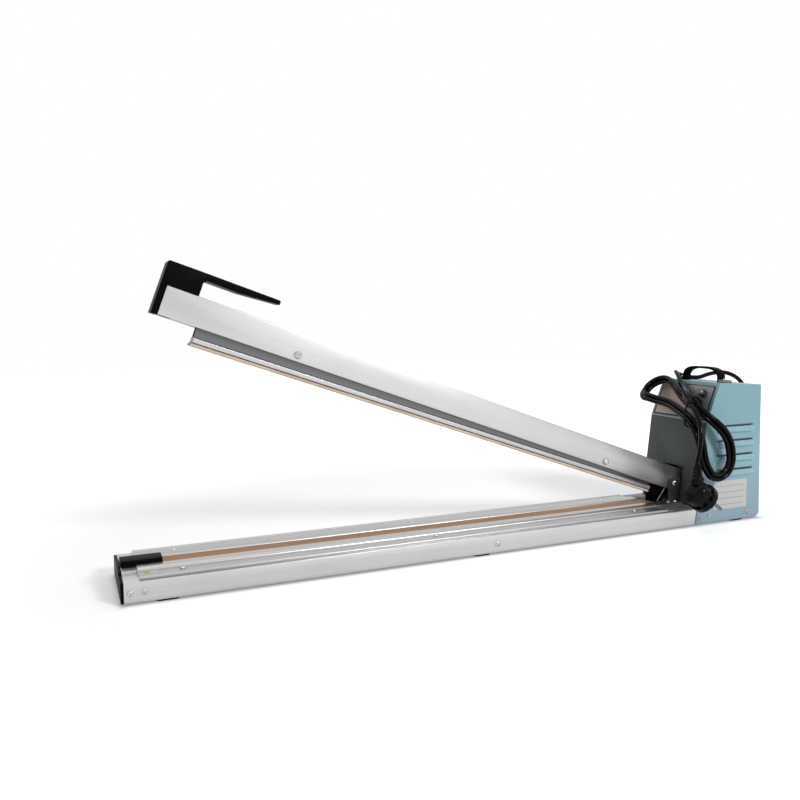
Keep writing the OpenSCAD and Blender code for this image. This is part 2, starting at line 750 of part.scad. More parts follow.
// Bent strip that hangs under the base's raised middle, clear of the lug, with the screw that holds it
module switch_bracket() {
    y0 = switch_w / 2;
    y1 = slot_w / 2 + 0.4;
    top = plateau_z - base_wall;
    low = switch_top - switch_h + 1;
    color("darkgray") difference() {
        union() {
            block([lug_x - 8, y0, low], [lug_x + 8, y0 + 1, switch_top - 0.5]);
            block([lug_x - 8, y0, low], [lug_x + 8, y1 + 1, low + 1]);
            block([lug_x - 8, y1, low], [lug_x + 8, y1 + 1, top]);
            block([lug_x - 8, y1, top - 1], [lug_x + 8, switch_screw_y + 3.6, top]);
        }
        translate([lug_x, switch_screw_y, top]) cylinder(d = hole_d, h = 4, center = true, $fn = 32);
    }
    color("silver") translate([lug_x, switch_screw_y, top - 1]) rotate([180, 0, 0]) screw(l = base_wall);
}

module switch_body() {
    color([0.1, 0.1, 0.1]) difference() {
        block([lug_x - switch_len / 2, -switch_w / 2, switch_top - switch_h],
            [lug_x + switch_len / 2, switch_w / 2, switch_top]);
        translate([lug_x, 0, switch_top - 5]) cylinder(r = plunger_d / 2 + run_gap, h = 6, $fn = 32);
    }
}

module switch_plunger() {
    color("firebrick") translate([lug_x, 0, 0]) rotate_extrude($fn = 32) polygon([[0, switch_top - 2.8],
        [plunger_d / 2, switch_top - 2.8], [plunger_d / 2, plunger_top - 0.5], [plunger_d / 2 - 0.5, plunger_top],
        [0, plunger_top]]);
}

module guide_bores(d) {
    for (x = [bar_pin_x, bar_slot_x]) translate([-x, 0, bar_pin_z]) rotate([90, 0, 0])
        cylinder(d = d, h = arm_w + 2 * cut, center = true, $fn = 32);
}

module arm_channel() {
    color("lightgray") at_arm() difference() {
        along_x(-arm_reach, arm_tail) {
            difference() {
                translate([-arm_w / 2, -arm_drop]) square([arm_w, arm_h]);
                translate([-arm_in_w / 2, -arm_drop - cut]) square([arm_in_w, arm_h - arm_wall + cut]);
            }
        }
        rotate([90, 0, 0]) cylinder(r = pin_d / 2 + run_gap, h = arm_w + 2 * cut, center = true);
        guide_bores(guide_d + 2 * run_gap);
        handle_screw_places() screw_hole();
    }
}

// Side view of the handle in the arm's frame, then its plan view
handle_x0 = -arm_reach - handle_plate_t;
block_end = -arm_reach + handle_block_len;
lever_end = block_end + lever_len;
handle_screw_x = [handle_block_len - 13.5, handle_block_len - 5];
handle_section = concat(
    [[handle_x0, -arm_drop - 0.5], [-arm_reach, -arm_drop - 0.5], [-arm_reach, arm_top],
        [block_end, arm_top], [block_end, handle_top - lever_root_t - 3],
        [block_end + 3, handle_top - lever_root_t], [block_end + lever_len * 0.45, handle_top - lever_root_t]],
    arc([lever_end - lever_tip_t / 2, handle_top + 1 - lever_tip_t / 2], lever_tip_t / 2, lever_tip_t / 2, -90, 90, 6),
    arc([handle_x0 + 2, handle_top - 2], 2, 2, 90, 180, 4));
handle_plan = concat(
    [[handle_x0, -arm_w / 2], [block_end, -arm_w / 2]],
    arc([lever_end - lever_tip_w / 2, 0], lever_tip_w / 2, lever_tip_w / 2, -80, 80, 10),
    [[block_end, arm_w / 2], [handle_x0, arm_w / 2]]);

module arm_handle() {
    color([0.06, 0.06, 0.06]) at_arm() difference() {
        union() {
            intersection() {
                along_y(arm_w) polygon(handle_section);
                translate([0, 0, -2 * arm_drop]) linear_extrude(3 * handle_top) polygon(handle_plan);
            }
            block([-arm_reach - cut, -arm_in_w / 2 + fit_gap, -arm_drop], [-arm_reach + 14, arm_in_w / 2 - fit_gap,
                web_z - fit_gap]);
        }
        handle_screw_places() screw_hole(l = 9);
    }
}

// Under the channel's top, with +z pointing down into the channel
module handle_screw_places() {
    for (x = handle_screw_x) translate([-arm_reach + x, 0, web_z]) rotate([180, 0, 0]) children();
}

module handle_screws() {
    color("silver") at_arm() handle_screw_places() screw(l = 9);
}

// Moulded block in the arm's tail: hub on the pin, wide heel, and the lug that works the switch
module hinge_block() {
    heel0 = -bar_start - 30;
    heel_z = bar_top + (bar_pin_x - bar_start) * sin(bar_tilt) + 1;
    color([0.05, 0.05, 0.05]) at_arm() difference() {
        union() {
            block([heel0, -arm_in_w / 2 + fit_gap, heel_z], [-lug_left, arm_in_w / 2 - fit_gap, web_z - fit_gap]);
            block([-lug_left - cut, -hub_w / 2, heel_z], [arm_tail - 1, hub_w / 2, web_z - fit_gap]);
            block([-lug_left, -hub_w / 2, -arm_drop + 1], [arm_tail - 1, hub_w / 2, heel_z + cut]);
            along_y(lug_w) polygon(concat(
                [[-lug_left, -arm_drop + 1.4], [-23, -22]],
                arc([-13.5, -lug_reach + 4], 4, 4, 210, 270, 3),
                arc([-8.5, -lug_reach + 4], 4, 4, 270, 340, 3),
                [[-2, -arm_drop + 1.4]]));
        }
        rotate([90, 0, 0]) cylinder(r = pin_d / 2 + run_gap, h = arm_w, center = true);
    }
}

module guide_screws() {
    half = arm_w / 2 + fit_gap;
    color("silver") at_arm() for (x = [bar_pin_x, bar_slot_x])
        translate([-x, 0, bar_pin_z]) rotate([90, 0, 0]) {
            cylinder(d = guide_d, h = 2 * half, center = true, $fn = 32);
            for (s = [0, 180]) rotate([s, 0, 0]) translate([0, 0, half])
                screw(head_d = 8.4, head_h = 2.2, d = guide_d, l = 1);
        }
}

module press_springs() {
    turns = 5;
    steps = 12 * turns;
    color("gainsboro") at_arm() for (x = press_spring_x)
        let (low = foot_top - (x - bar_pin_x) * sin(bar_tilt) + press_spring_wire / 2 + 0.15,
            high = web_z - press_spring_wire / 2 - 0.1)
        tube([for (i = [0 : steps]) [-x + press_spring_r * cos(30 * i), press_spring_r * sin(30 * i),
            low + (high - low) * i / steps]], press_spring_wire / 2, 6);
}

module press_bar() {
    color("darkgray") at_bar() difference() {
        along_x(-bar_x0, -bar_start) {
            for (s = [-1, 1]) translate([s * (bar_web_w - bar_wall) / 2 - bar_wall / 2, foot_top - 1])
                square([bar_wall, bar_top - foot_top + 1]);
            polygon([[-bar_foot_w / 2, foot_bottom], [bar_foot_w / 2, foot_bottom],
                [bar_foot_w / 2, foot_top - 1.2], [bar_foot_w / 2 - 1.2, foot_top],
                [-bar_foot_w / 2 + 1.2, foot_top], [-bar_foot_w / 2, foot_top - 1.2]]);
        }
        translate([-bar_pin_x, 0, bar_pin_z]) rotate([90, 0, 0])
            cylinder(d = guide_d + 2 * run_gap, h = bar_foot_w, center = true, $fn = 32);
        translate([-bar_slot_x, 0, bar_pin_z + slot_rise / 2]) rotate([90, 0, 0])
            linear_extrude(bar_foot_w, center = true) rotate(90)
            stadium(slot_rise + guide_d + 0.8, guide_d + 0.8);
    }
}

module strip_backing() {
    color([0.45, 0.2, 0.13]) at_bar()
        block([-bar_x0, -silicone_w / 2 - 0.5, silicone_top], [-bar_start, silicone_w / 2 + 0.5, foot_bottom]);
}

module silicone_strip() {
    color([0.9, 0.82, 0.7]) at_bar()
        block([-bar_x0 - 1.5, -silicone_w / 2, -press_depth], [-bar_start, silicone_w / 2, silicone_top]);
}

housing_outline = concat(
    [[housing_x0, housing_foot]],
    arc([x_right - rear_corner_r, housing_foot + rear_corner_r], rear_corner_r, rear_corner_r, -90, 0, 6),
    [[x_right, housing_back_h], [top_x, housing_h], [bend_x, bend_h]]);

louvre_r = (louvre_out * louvre_out + louvre_h * louvre_h / 4) / (2 * louvre_out);
louvre_zs = [for (i = [0 : louvre_count - 1]) louvre_top - louvre_h / 2 - i * louvre_pitch];

// Pressed hood seen from outside: x along it, y up the wall, z out of the wall
module louvre_solid(r) {
    half = (louvre_len - louvre_h) / 2;
    translate([0, 0, louvre_out - louvre_r]) {
        rotate([0, 90, 0]) cylinder(r = r, h = 2 * half, center = true);
        for (s = [-1, 1]) translate([s * half, 0, 0]) sphere(r = r, $fn = 40);
    }
}

module louvre_hoods() {
    x = housing_x0 + louvre_x + louvre_len / 2;
    for (s = [-1, 1], z = louvre_zs) translate([x, s * cover_w / 2, z]) rotate([90, 0, 0])
        scale([1, 1, -s]) difference() {
            louvre_solid(louvre_r);
            louvre_solid(louvre_r - cover_t * 0.8);
            translate([-louvre_len, -louvre_h, -4 * louvre_r]) cube([2 * louvre_len, 2 * louvre_h, 4 * louvre_r]);
            translate([-louvre_len, louvre_h / 2 - 2.6, -1]) cube([2 * louvre_len, louvre_h, 2 * louvre_out]);
        }
}

// Slot in the wall behind each hood
module louvre_slots() {
    x = housing_x0 + louvre_x + louvre_len / 2;
    for (s = [-1, 1], z = louvre_zs) translate([x, s * (cover_w / 2 - cover_t / 2), z])
        cube([louvre_len - louvre_h, 3 * cover_t, louvre_h - 4.4], center = true);
}

module cover_cavity() {
    inner = inset(housing_outline, cover_t);
    along_y(inner_w) {
        polygon(inner);
        translate([housing_x0 - cut, housing_foot - cut])
            square([housing_len - cover_t - rear_corner_r + cut, rear_corner_r + 2 * cut]);
    }
}

// The front strip that the front plate fills, between the side walls
module front_cut() {
    low = [housing_x0, housing_foot];
    high = [bend_x, bend_h];
    d = unit(high - low);
    along_y(inner_w) polygon([low - d * 3 - [3, 0], low - d * 3 + [3, 0], high + [3, 0] - d * cover_t,
        high - [3, 0] - d * cover_t]);
}

module housing_cover() {
    color([0.53, 0.68, 0.73]) difference() {
        union() {
            difference() {
                along_y(cover_w) polygon(housing_outline);
                cover_cavity();
                front_cut();
                louvre_slots();
            }
            louvre_hoods();
        }
        on_slope(timer_at) cylinder(d = shaft_d + 4, h = 10, center = true);
        on_slope(power_at) cylinder(d = shaft_d + 4, h = 10, center = true);
        on_slope(lamp_at) cylinder(d = lamp_d + 2 * run_gap, h = 10, center = true);
        on_sides(cover_w / 2, cover_screw_spots) screw_hole();
        on_roof() for (s = [-1, 1]) translate([0, s * strap_screw_y, 0])
            cylinder(d = hole_d, h = 20, center = true, $fn = 32);
        translate([x_right, gland_y, gland_h]) rotate([0, 90, 0]) cylinder(d = cord_d + 4, h = 10, center = true);
    }
}

module front_plate() {
    low = [housing_x0, housing_foot];
    high = [bend_x, bend_h];
    d = unit(high - low);
    inwards = [d.y, -d.x];
    foot = low + d * (base_top + bracket_t + 0.5 - housing_foot) / d.y;
    top = high - d * (cover_t + fit_gap);
    color([0.25, 0.27, 0.27]) difference() {
        along_y(inner_w - 2 * fit_gap) polygon([foot, foot + inwards * cover_t, top + inwards * cover_t, top]);
        block([housing_x0 - 10, -plateau_w / 2 - 2, 0], [bend_x, plateau_w / 2 + 2, bracket_z + 0.5]);
        block([housing_x0 - 10, -arm_port_w / 2, 0], [bend_x, arm_port_w / 2, arm_port_h]);
    }
}

module control_panel() {
    color([0.62, 0.56, 0.5]) difference() {
        on_slope() translate([panel_low, -panel_w / 2, 0.02]) cube([panel_len, panel_w, panel_t - 0.02]);
        on_slope(timer_at) cylinder(r = shaft_d / 2 + run_gap, h = 10, center = true);
        on_slope(power_at) cylinder(r = shaft_d / 2 + run_gap, h = 10, center = true);
        on_slope(lamp_at) cylinder(d = lamp_d + 2 * run_gap, h = 10, center = true);
    }
}

// Knob with grip flutes and its shaft: z = 0 is the panel's face
module knob(d, h, flutes) {
    difference() {
        rotate_extrude() polygon([[0, 0], [d / 2, 0], [d / 2, h * 0.3], [d / 2 - 0.8, h - 0.8],
            [d / 2 - 1.6, h], [0, h]]);
        for (i = [0 : flutes - 1]) rotate(360 * i / flutes) translate([d / 2 + 0.5, 0, h * 0.3])
            cylinder(r = 1, h = h, $fn = 16);
    }
    translate([0, 0, -8]) cylinder(d = shaft_d, h = 9);
}

module timer_knob() {
    color([0.05, 0.05, 0.05]) on_slope(timer_at) translate([0, 0, panel_t + fit_gap]) difference() {
        knob(timer_knob_d, timer_knob_h, 12);
        translate([0, -0.4, timer_knob_h - 0.6]) cube([timer_knob_d, 0.8, 1]);
    }
}

module power_knob() {
    color("gainsboro") on_slope(power_at) translate([0, 0, panel_t + fit_gap]) knob(power_knob_d, power_knob_h, 0);
}

module pilot_lamp() {
    color([0.35, 0.05, 0.04]) on_slope(lamp_at) translate([0, 0, panel_t]) {
        translate([0, 0, -6]) cylinder(d = lamp_d, h = 6.6, $fn = 32);
        translate([0, 0, 0.6]) rotate_extrude($fn = 32) polygon(concat([[0, 0]],
            arc([0, 0], lamp_d / 2, 1.2, 0, 90, 5)));
    }
}

// Round body behind the slope that a knob's shaft turns in
module control(at) {
    on_slope(at) translate([0, 0, -cover_t - control_len - 0.02]) difference() {
        cylinder(d = control_d, h = control_len);
        translate([0, 0, control_len - 8]) cylinder(r = shaft_d / 2 + run_gap, h = 9);
    }
}

module timer_control() {
    color("slategray") control(timer_at);
}

module power_control() {
    color("slategray") control(power_at);
}

module timer_board() {
    depth = cover_t + control_len + 0.05;
    color("darkgreen") on_slope() translate([panel_low + 4, -base_w / 2 + 8, -depth - board_t])
        cube([panel_len - 8, base_w / 2, board_t]);
    color("black") on_slope() for (p = [[34, -26], [34, -12]])
        translate([p[0] - 16, p[1], -depth - board_t - 14]) cylinder(d = 10, h = 14, $fn = 32);
}

// Half of a flattened arch, from one foot to the other
function bow(a, b) = [for (i = [0 : 20]) let (t = 9 * i)
    [a * sign(cos(t)) * pow(abs(cos(t)), 0.6), b * pow(abs(sin(t)), 0.6)]];

module carry_strap() {
    a = strap_span / 2 - 2;
    color([0.07, 0.07, 0.07]) on_roof() difference() {
        along_x(-strap_w / 2, strap_w / 2) {
            translate([0, 0.05]) polygon(concat(bow(a, strap_rise), flip(bow(-a + strap_t, strap_rise - strap_t))));
            for (s = [-1, 1]) translate([s * (strap_screw_y - 1.2) - 5.2, 0.05]) square([10.4, strap_t]);
        }
        for (s = [-1, 1]) translate([0, s * strap_screw_y, 0])
            cylinder(d = hole_d, h = 20, center = true, $fn = 32);
    }
}

// Metal caps over the strap's ends
module strap_clips() {
    w = strap_w / 2 + 0.1;
    color("gainsboro") on_roof() for (a = [0, 180]) rotate(a) translate([0, strap_screw_y, 0.1])
        difference() {
            block([-w - 0.8, -4, 0], [w + 0.8, 4.9, strap_t + 0.8]);
            block([-w, -4 - cut, -cut], [w, 4.1, strap_t]);
            cylinder(d = hole_d, h = 20, center = true, $fn = 32);
        }
}

module strap_screws() {
    color("silver") on_roof() for (s = [-1, 1]) translate([0, s * strap_screw_y, strap_t + 0.9])
        screw(l = strap_t + 4);
}

module housing_screws() {
    color("silver") on_sides(cover_w / 2, cover_screw_spots) screw();
}

module rating_plate() {
    color("whitesmoke") translate([housing_x0 + label_front, -cover_w / 2 - 0.4, foot_h + label_low])
        cube([label_size[0], 0.4, label_size[1]]);
}

module transformer_core() {
    color("dimgray") difference() {
        union() {
            block([core_x0, -core_t / 2, plateau_z + 2], [core_x0 + core_len, core_t / 2, plateau_z + 2 + core_h]);
            block([core_x0, -core_foot_w / 2, plateau_z], [core_x0 + core_len, core_foot_w / 2, plateau_z + 2]);
        }
        for (s = [-1, 1]) translate([core_x0 + core_len / 2 + s * core_len / 4, 0, plateau_z + 2 + core_h / 2])
            cube([core_len / 6, core_t + cut, core_h * 0.6], center = true);
        for (p = transformer_screw_spots) translate([p[0], p[1], plateau_z + 2]) screw_hole();
    }
}

module transformer_winding() {
    x = core_x0 + core_len / 2;
    zm = plateau_z + 2 + core_h / 2;
    color("peru") for (s = [-1, 1]) {
        translate([x, s * (core_t / 2 + 4.1), zm]) cube([core_len / 2 + core_len / 6, 8, core_h * 0.58], center = true);
        translate([x + s * core_len / 4, 0, zm]) cube([core_len / 6 - 0.4, core_t + 1, core_h * 0.58], center = true);
    }
}

module transformer_screws() {
    color("silver") for (p = transformer_screw_spots) translate([p[0], p[1], plateau_z + 2]) screw();
}

// Tapered strain relief with a nut inside the wall
module cord_gland() {
    color([0.05, 0.05, 0.05]) translate([x_right, gland_y, gland_h]) rotate([0, 90, 0]) {
        translate([0, 0, -cover_t - 3]) cylinder(d = cord_d + 3.6, h = cover_t + 3.1);
        translate([0, 0, 0.05]) rotate_extrude() polygon([[0, 0], [cord_d / 2 + 4, 0], [cord_d / 2 + 4, 3],
            [cord_d / 2 + 2, 5], [cord_d / 2 + 1, relief_len - 0.1], [0, relief_len - 0.1]]);
    }
}

module mains_lead() {
    color([0.04, 0.04, 0.04]) tube(lead_route, cord_d / 2, 10);
}

module cord_hank() {
    color([0.04, 0.04, 0.04]) tube(hank_route, hank_r, 10, true);
}

module cord_tie() {
    color([0.1, 0.1, 0.1]) tube(tie_route, 1.2, 8, true);
}

module plug_lead() {
    color([0.04, 0.04, 0.04]) tube(plug_route, cord_d / 2, 10);
}

// Round angled plug: z runs out of its face
module at_plug() {
    translate(plug_at) rotate([0, 90 + plug_axis, 0]) children();
}

module plug_body() {
    color([0.05, 0.05, 0.05]) {
        at_plug() difference() {
            translate([0, 0, 16 - plug_len]) rotate_extrude() polygon(concat([[0, 0]],
                arc([plug_d / 2 - 10.5, 8], 8, 8, -90, 0, 6), [[plug_d / 2 - 2.5, plug_len - 9],
                [plug_d / 2, plug_len - 7], [plug_d / 2, plug_len - 1], [plug_d / 2 - 1, plug_len], [0, plug_len]]));
            for (i = [0 : 9]) rotate(36 * i + 18) translate([plug_d / 2 + 0.4, 0, 16 - plug_len - 1])
                cylinder(r = 4, h = plug_len - 7);
            for (s = [-1, 1]) translate([0, s * 9.5, 16 - 6])
                cylinder(r = plug_pin_d / 2 + 0.05, h = 7, $fn = 32);
        }
        translate([plug_top.x, plug_top.y, plug_at.z + 12]) rotate_extrude()
            polygon([[0, 0], [8, 0], [8, 6], [6.2, 9], [cord_d / 2 + 1, plug_top.z - plug_at.z - 12.1],
            [0, plug_top.z - plug_at.z - 12.1]]);
    }
}

module plug_pins() {
    color("silver") at_plug() for (s = [-1, 1]) translate([0, s * 9.5, 16 - 5.9])
        cylinder(d = plug_pin_d, h = plug_pin_len + 5.9, $fn = 32);
}

base_body();
end_cap();
front_rail();
rear_rail();
rail_screws();
insulation_strip();
heating_element();
ptfe_cloth();
left_terminal_cover();
left_terminal();
element_spring();
right_terminal();
rubber_feet();
base_screws();
pivot_bracket();
bracket_screws();
pivot_pin();
return_springs();
switch_bracket();
switch_body();
switch_plunger();
arm_channel();
arm_handle();
handle_screws();
hinge_block();
guide_screws();
press_springs();
press_bar();
strip_backing();
silicone_strip();
housing_cover();
front_plate();
control_panel();
timer_knob();
power_knob();
pilot_lamp();
timer_control();
power_control();
timer_board();
carry_strap();
strap_clips();
strap_screws();
housing_screws();
rating_plate();
transformer_core();
transformer_winding();
transformer_screws();
cord_gland();
mains_lead();
cord_hank();
cord_tie();
plug_lead();
plug_body();
plug_pins();
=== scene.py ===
"""Dress the frame of a hand impulse sealer: cord, bare metal, painted housing and soft strips.

Lengths are in metres in the frame's own axes: +X runs along the base to the housing, -Y is the
operator's side and +Z is up. Routes and small sizes are written in millimetres and scaled by MM.
"""

import logging
import math
from collections.abc import Callable, Iterable, Sequence
from dataclasses import dataclass
from enum import Enum
from typing import ClassVar

import bmesh
import bpy
from mathutils import Matrix, Vector


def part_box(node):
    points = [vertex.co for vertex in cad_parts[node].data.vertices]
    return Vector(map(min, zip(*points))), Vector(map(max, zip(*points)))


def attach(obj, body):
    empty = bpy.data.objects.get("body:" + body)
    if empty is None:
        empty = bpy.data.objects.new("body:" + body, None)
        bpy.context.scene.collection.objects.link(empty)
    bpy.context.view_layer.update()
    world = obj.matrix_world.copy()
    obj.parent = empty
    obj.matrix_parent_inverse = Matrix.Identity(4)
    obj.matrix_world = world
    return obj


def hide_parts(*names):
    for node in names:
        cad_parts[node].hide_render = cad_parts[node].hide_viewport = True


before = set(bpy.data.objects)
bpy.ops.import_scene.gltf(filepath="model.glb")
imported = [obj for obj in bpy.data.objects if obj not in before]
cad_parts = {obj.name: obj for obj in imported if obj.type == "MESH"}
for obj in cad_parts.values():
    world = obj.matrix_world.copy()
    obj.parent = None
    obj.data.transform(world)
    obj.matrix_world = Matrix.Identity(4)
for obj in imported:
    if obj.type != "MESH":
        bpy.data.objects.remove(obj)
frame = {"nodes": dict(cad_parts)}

MM = 0.001
LOG = logging.getLogger("sealer")
# How far the arm stands open in the frame, in radians
ARM_OPEN = math.radians(20.0)
# Angle between faces from which an edge is sharp, in degrees
SHARP = 35.0
# Distance under which two points are one
WELD = 1e-6
# What the camera sees of the room
WHITE = (255, 255, 255)
# Rays that see the white room as it is
SEEN_BY = ("Is Camera Ray", "Is Glossy Ray", "Is Transmission Ray")

Rgb = tuple[float, float, float]
Point = tuple[float, float, float]

# Grain drawn out along X, as an extrusion has it
DRAWN: Point = (0.02, 1.0, 1.0)


class Body(Enum):
    """Bodies of the frame that pieces ride on."""

    MACHINE = "machine"
    ARM = "arm"
    BAR = "press_bar"
    TIMER = "timer_knob"
    POWER = "power_knob"


def linear(colour: Rgb) -> tuple[float, float, float, float]:
    """Turn an 8-bit sRGB colour into the linear one that Blender mixes."""
    parts = [c / 255 for c in colour]
    return (*[p / 12.92 if p <= 0.04045 else ((p + 0.055) / 1.055) ** 2.4 for p in parts], 1.0)


# ---- Shader maths ----


class Value:
    """Output of a shader node that takes part in arithmetic."""

    def __init__(self, look: "Look", socket: bpy.types.NodeSocket) -> None:
        """Keep the socket and the material that it belongs to."""
        self.look = look
        self.socket = socket

    def _math(self, operation: str, *terms: "Value | float") -> "Value":
        """Add a Math node with these terms."""
        return self.look.node("ShaderNodeMath", {"operation": operation}, dict(enumerate(terms)))

    def __add__(self, other: "Value | float") -> "Value":
        """Sum."""
        return self._math("ADD", self, other)

    __radd__ = __add__

    def __mul__(self, other: "Value | float") -> "Value":
        """Product."""
        return self._math("MULTIPLY", self, other)

    __rmul__ = __mul__

    def __sub__(self, other: "Value | float") -> "Value":
        """Difference."""
        return self._math("SUBTRACT", self, other)

    def __rsub__(self, other: "Value | float") -> "Value":
        """Difference with a plain number first."""
        return self._math("SUBTRACT", other, self)

    def __truediv__(self, other: "Value | float") -> "Value":
        """Quotient."""
        return self._math("DIVIDE", self, other)

    def size(self) -> "Value":
        """Absolute value."""
        return self._math("ABSOLUTE", self)

    def least(self, other: "Value | float") -> "Value":
        """Smaller of the two."""
        return self._math("MINIMUM", self, other)

    def most(self, other: "Value | float") -> "Value":
        """Larger of the two."""
        return self._math("MAXIMUM", self, other)

    def power(self, other: float) -> "Value":
        """Raise to a power."""
        return self._math("POWER", self, other)

    def sine(self) -> "Value":
        """Sine of an angle in radians."""
        return self._math("SINE", self)

    def fraction(self) -> "Value":
        """Part after the decimal point."""
        return self._math("FRACT", self)

    def bearing(self, other: "Value") -> "Value":
        """Angle of the point whose sine is self and cosine is other."""
        return self._math("ARCTAN2", self, other)

    def step(self, low: float, high: float) -> "Value":
        """Go smoothly from 0 at low to 1 at high."""
        return self.look.node(
            "ShaderNodeMapRange",
            {"interpolation_type": "SMOOTHSTEP"},
            {0: self, 1: low, 2: high, 3: 0.0, 4: 1.0},
        )

    def band(self, centre: float, half: float, soft: float) -> "Value":
        """Give 1 within half of the centre and fall to 0 over soft."""
        return 1.0 - (self - centre).size().step(half, half + soft)


class Look:
    """A material while its nodes are laid out."""

    def __init__(self, name: str, turn: float = 0.0) -> None:
        """Start a material with a Principled shader.

        Args:
            name: The material's name.
            turn: How far the pattern is turned about Y, in radians.
        """
        self.turn = turn
        self.material = bpy.data.materials.new(name)
        self.material.use_nodes = True
        self.tree = self.material.node_tree
        self.tree.nodes.clear()
        self.shader = self.tree.nodes.new("ShaderNodeBsdfPrincipled")
        output = self.tree.nodes.new("ShaderNodeOutputMaterial")
        self.tree.links.new(self.shader.outputs[0], output.inputs[0])
        self.coordinates = self.tree.nodes.new("ShaderNodeTexCoord").outputs["Object"]

    def node(
        self,
        kind: str,
        settings: dict[str, object],
        inputs: dict[int | str, "Value | float | tuple"],
        output: int | str = 0,
    ) -> Value:
        """Add any node.

        Args:
            kind: The node's type name.
            settings: Attributes of the node.
            inputs: Values or links for its sockets, by name or place.
            output: Which output to return.

        Returns:
            The chosen output.
        """
        node = self.tree.nodes.new(kind)
        for name, setting in settings.items():
            setattr(node, name, setting)
        for key, value in inputs.items():
            if isinstance(value, Value):
                self.tree.links.new(value.socket, node.inputs[key])
            else:
                node.inputs[key].default_value = value
        return Value(self, node.outputs[output])

    def place(self, stretch: Point = (1.0, 1.0, 1.0)) -> Value:
        """Object coordinates, turned with the pattern and scaled along each axis."""
        return self.node(
            "ShaderNodeMapping",
            {"vector_type": "TEXTURE"},
            {
                "Vector": Value(self, self.coordinates),
                "Rotation": (0.0, self.turn, 0.0),
                "Scale": tuple(1.0 / s for s in stretch),
            },
        )

    def axis(self, name: str) -> Value:
        """One object coordinate, by the name X, Y or Z."""
        return self.node("ShaderNodeSeparateXYZ", {}, {0: Value(self, self.coordinates)}, name)

    def noise(
        self,
        scale: float,
        detail: float = 3.0,
        stretch: Point = (1.0, 1.0, 1.0),
        seed: float = 0.0,
    ) -> Value:
        """Noise between about 0 and 1.

        Args:
            scale: Waves per metre.
            detail: Octaves.
            stretch: Scale of each axis.
            seed: Which slice of the four-dimensional noise to take.

        Returns:
            The noise.
        """
        return self.node(
            "ShaderNodeTexNoise",
            {"noise_dimensions": "4D"},
            {"Vector": self.place(stretch), "W": seed, "Scale": scale, "Detail": detail},
        )

    def mix(self, factor: "Value | float", first: "Value | Rgb", second: "Value | Rgb") -> Value:
        """Mix two colours, given as links or as 8-bit sRGB.

        Args:
            factor: Share of the second colour.
            first: The first colour.
            second: The second colour.

        Returns:
            The mixed colour.
        """
        pair = [c if isinstance(c, Value) else linear(c) for c in (first, second)]
        sockets = {0: factor, 6: pair[0], 7: pair[1]}
        return self.node("ShaderNodeMix", {"data_type": "RGBA"}, sockets, 2)

    def bump(self, height: Value, distance: float, strength: float = 1.0) -> Value:
        """Turn a height between 0 and 1 into a normal; distance is in metres."""
        sockets = {"Strength": strength, "Distance": distance, "Height": height}
        return self.node("ShaderNodeBump", {}, sockets)

    def done(self, **sockets: "Value | float | tuple") -> bpy.types.Material:
        """Set the shader's sockets, with underscores for spaces, and return the material."""
        for name, value in sockets.items():
            socket = self.shader.inputs[name.replace("_", " ")]
            if isinstance(value, Value):
                self.tree.links.new(value.socket, socket)
            else:
                socket.default_value = value
        return self.material


# ---- Finishes ----


@dataclass(frozen=True)
class Metal:
    """Bare, anodised or plated metal whose grain runs along X of the turned pattern.

    Attributes:
        colour: Main colour.
        shade: Colour of the duller patches.
        roughness: Mean roughness.
        spread: How far the roughness varies.
        grain: Stretch of the grain along each axis.
        scale: Fineness of the grain.
        depth: Height of the grain.
        turn: How far the grain is turned about Y.
        smudge: Fineness of the duller patches.
    """

    colour: Rgb
    shade: Rgb
    roughness: float = 0.35
    spread: float = 0.06
    grain: Point = (1.0, 1.0, 1.0)
    scale: float = 900.0
    depth: float = 0.008 * MM
    turn: float = 0.0
    smudge: float = 14.0

    def material(self, name: str) -> bpy.types.Material:
        """Build the material under a name.

        Args:
            name: The material's name.

        Returns:
            The material.
        """
        look = Look(name, self.turn)
        lines = look.noise(self.scale, 4.0, self.grain)
        cloud = look.noise(self.smudge, 3.0, seed=4.0)
        speck = look.noise(self.scale * 0.4, 2.0, seed=9.0).step(0.66, 0.78)
        colour = look.mix((lines * 0.6 + cloud * 0.4).step(0.25, 0.75), self.shade, self.colour)
        colour = look.mix(speck * 0.2, colour, self.shade)
        return look.done(
            Base_Color=colour,
            Metallic=1.0,
            Roughness=(lines + cloud - 1.0) * self.spread + self.roughness,
            Normal=look.bump(lines, self.depth, 0.5),
        )


@dataclass(frozen=True)
class BarMetal:
    """Extruded press bar: web darkened by painted shade between the arm's walls, and a bright foot.

    Attributes:
        turn: How far the grain is turned about Y.
        half: Half the width from which the bright foot begins.
    """

    turn: float
    half: float
    # web is painted shade: the bar's metal as dark as the shade between the arm's walls
    web: Rgb = (104, 105, 105)
    foot: Rgb = (196, 198, 202)
    shade: Rgb = (150, 151, 153)

    def material(self, name: str) -> bpy.types.Material:
        """Build the material under a name.

        Args:
            name: The material's name.

        Returns:
            The material.
        """
        look = Look(name, self.turn)
        lines = look.noise(900.0, 4.0, DRAWN)
        # Painted shade: dark web inside the arm, bright metal only on the foot
        foot = look.axis("Y").size().step(self.half - 0.4 * MM, self.half)
        colour = look.mix(foot, self.web, look.mix(lines, self.shade, self.foot))
        return look.done(
            Base_Color=colour,
            Metallic=1.0,
            Roughness=(lines - 0.5) * 0.06 + 0.36,
            Normal=look.bump(lines, 0.008 * MM, 0.5),
        )


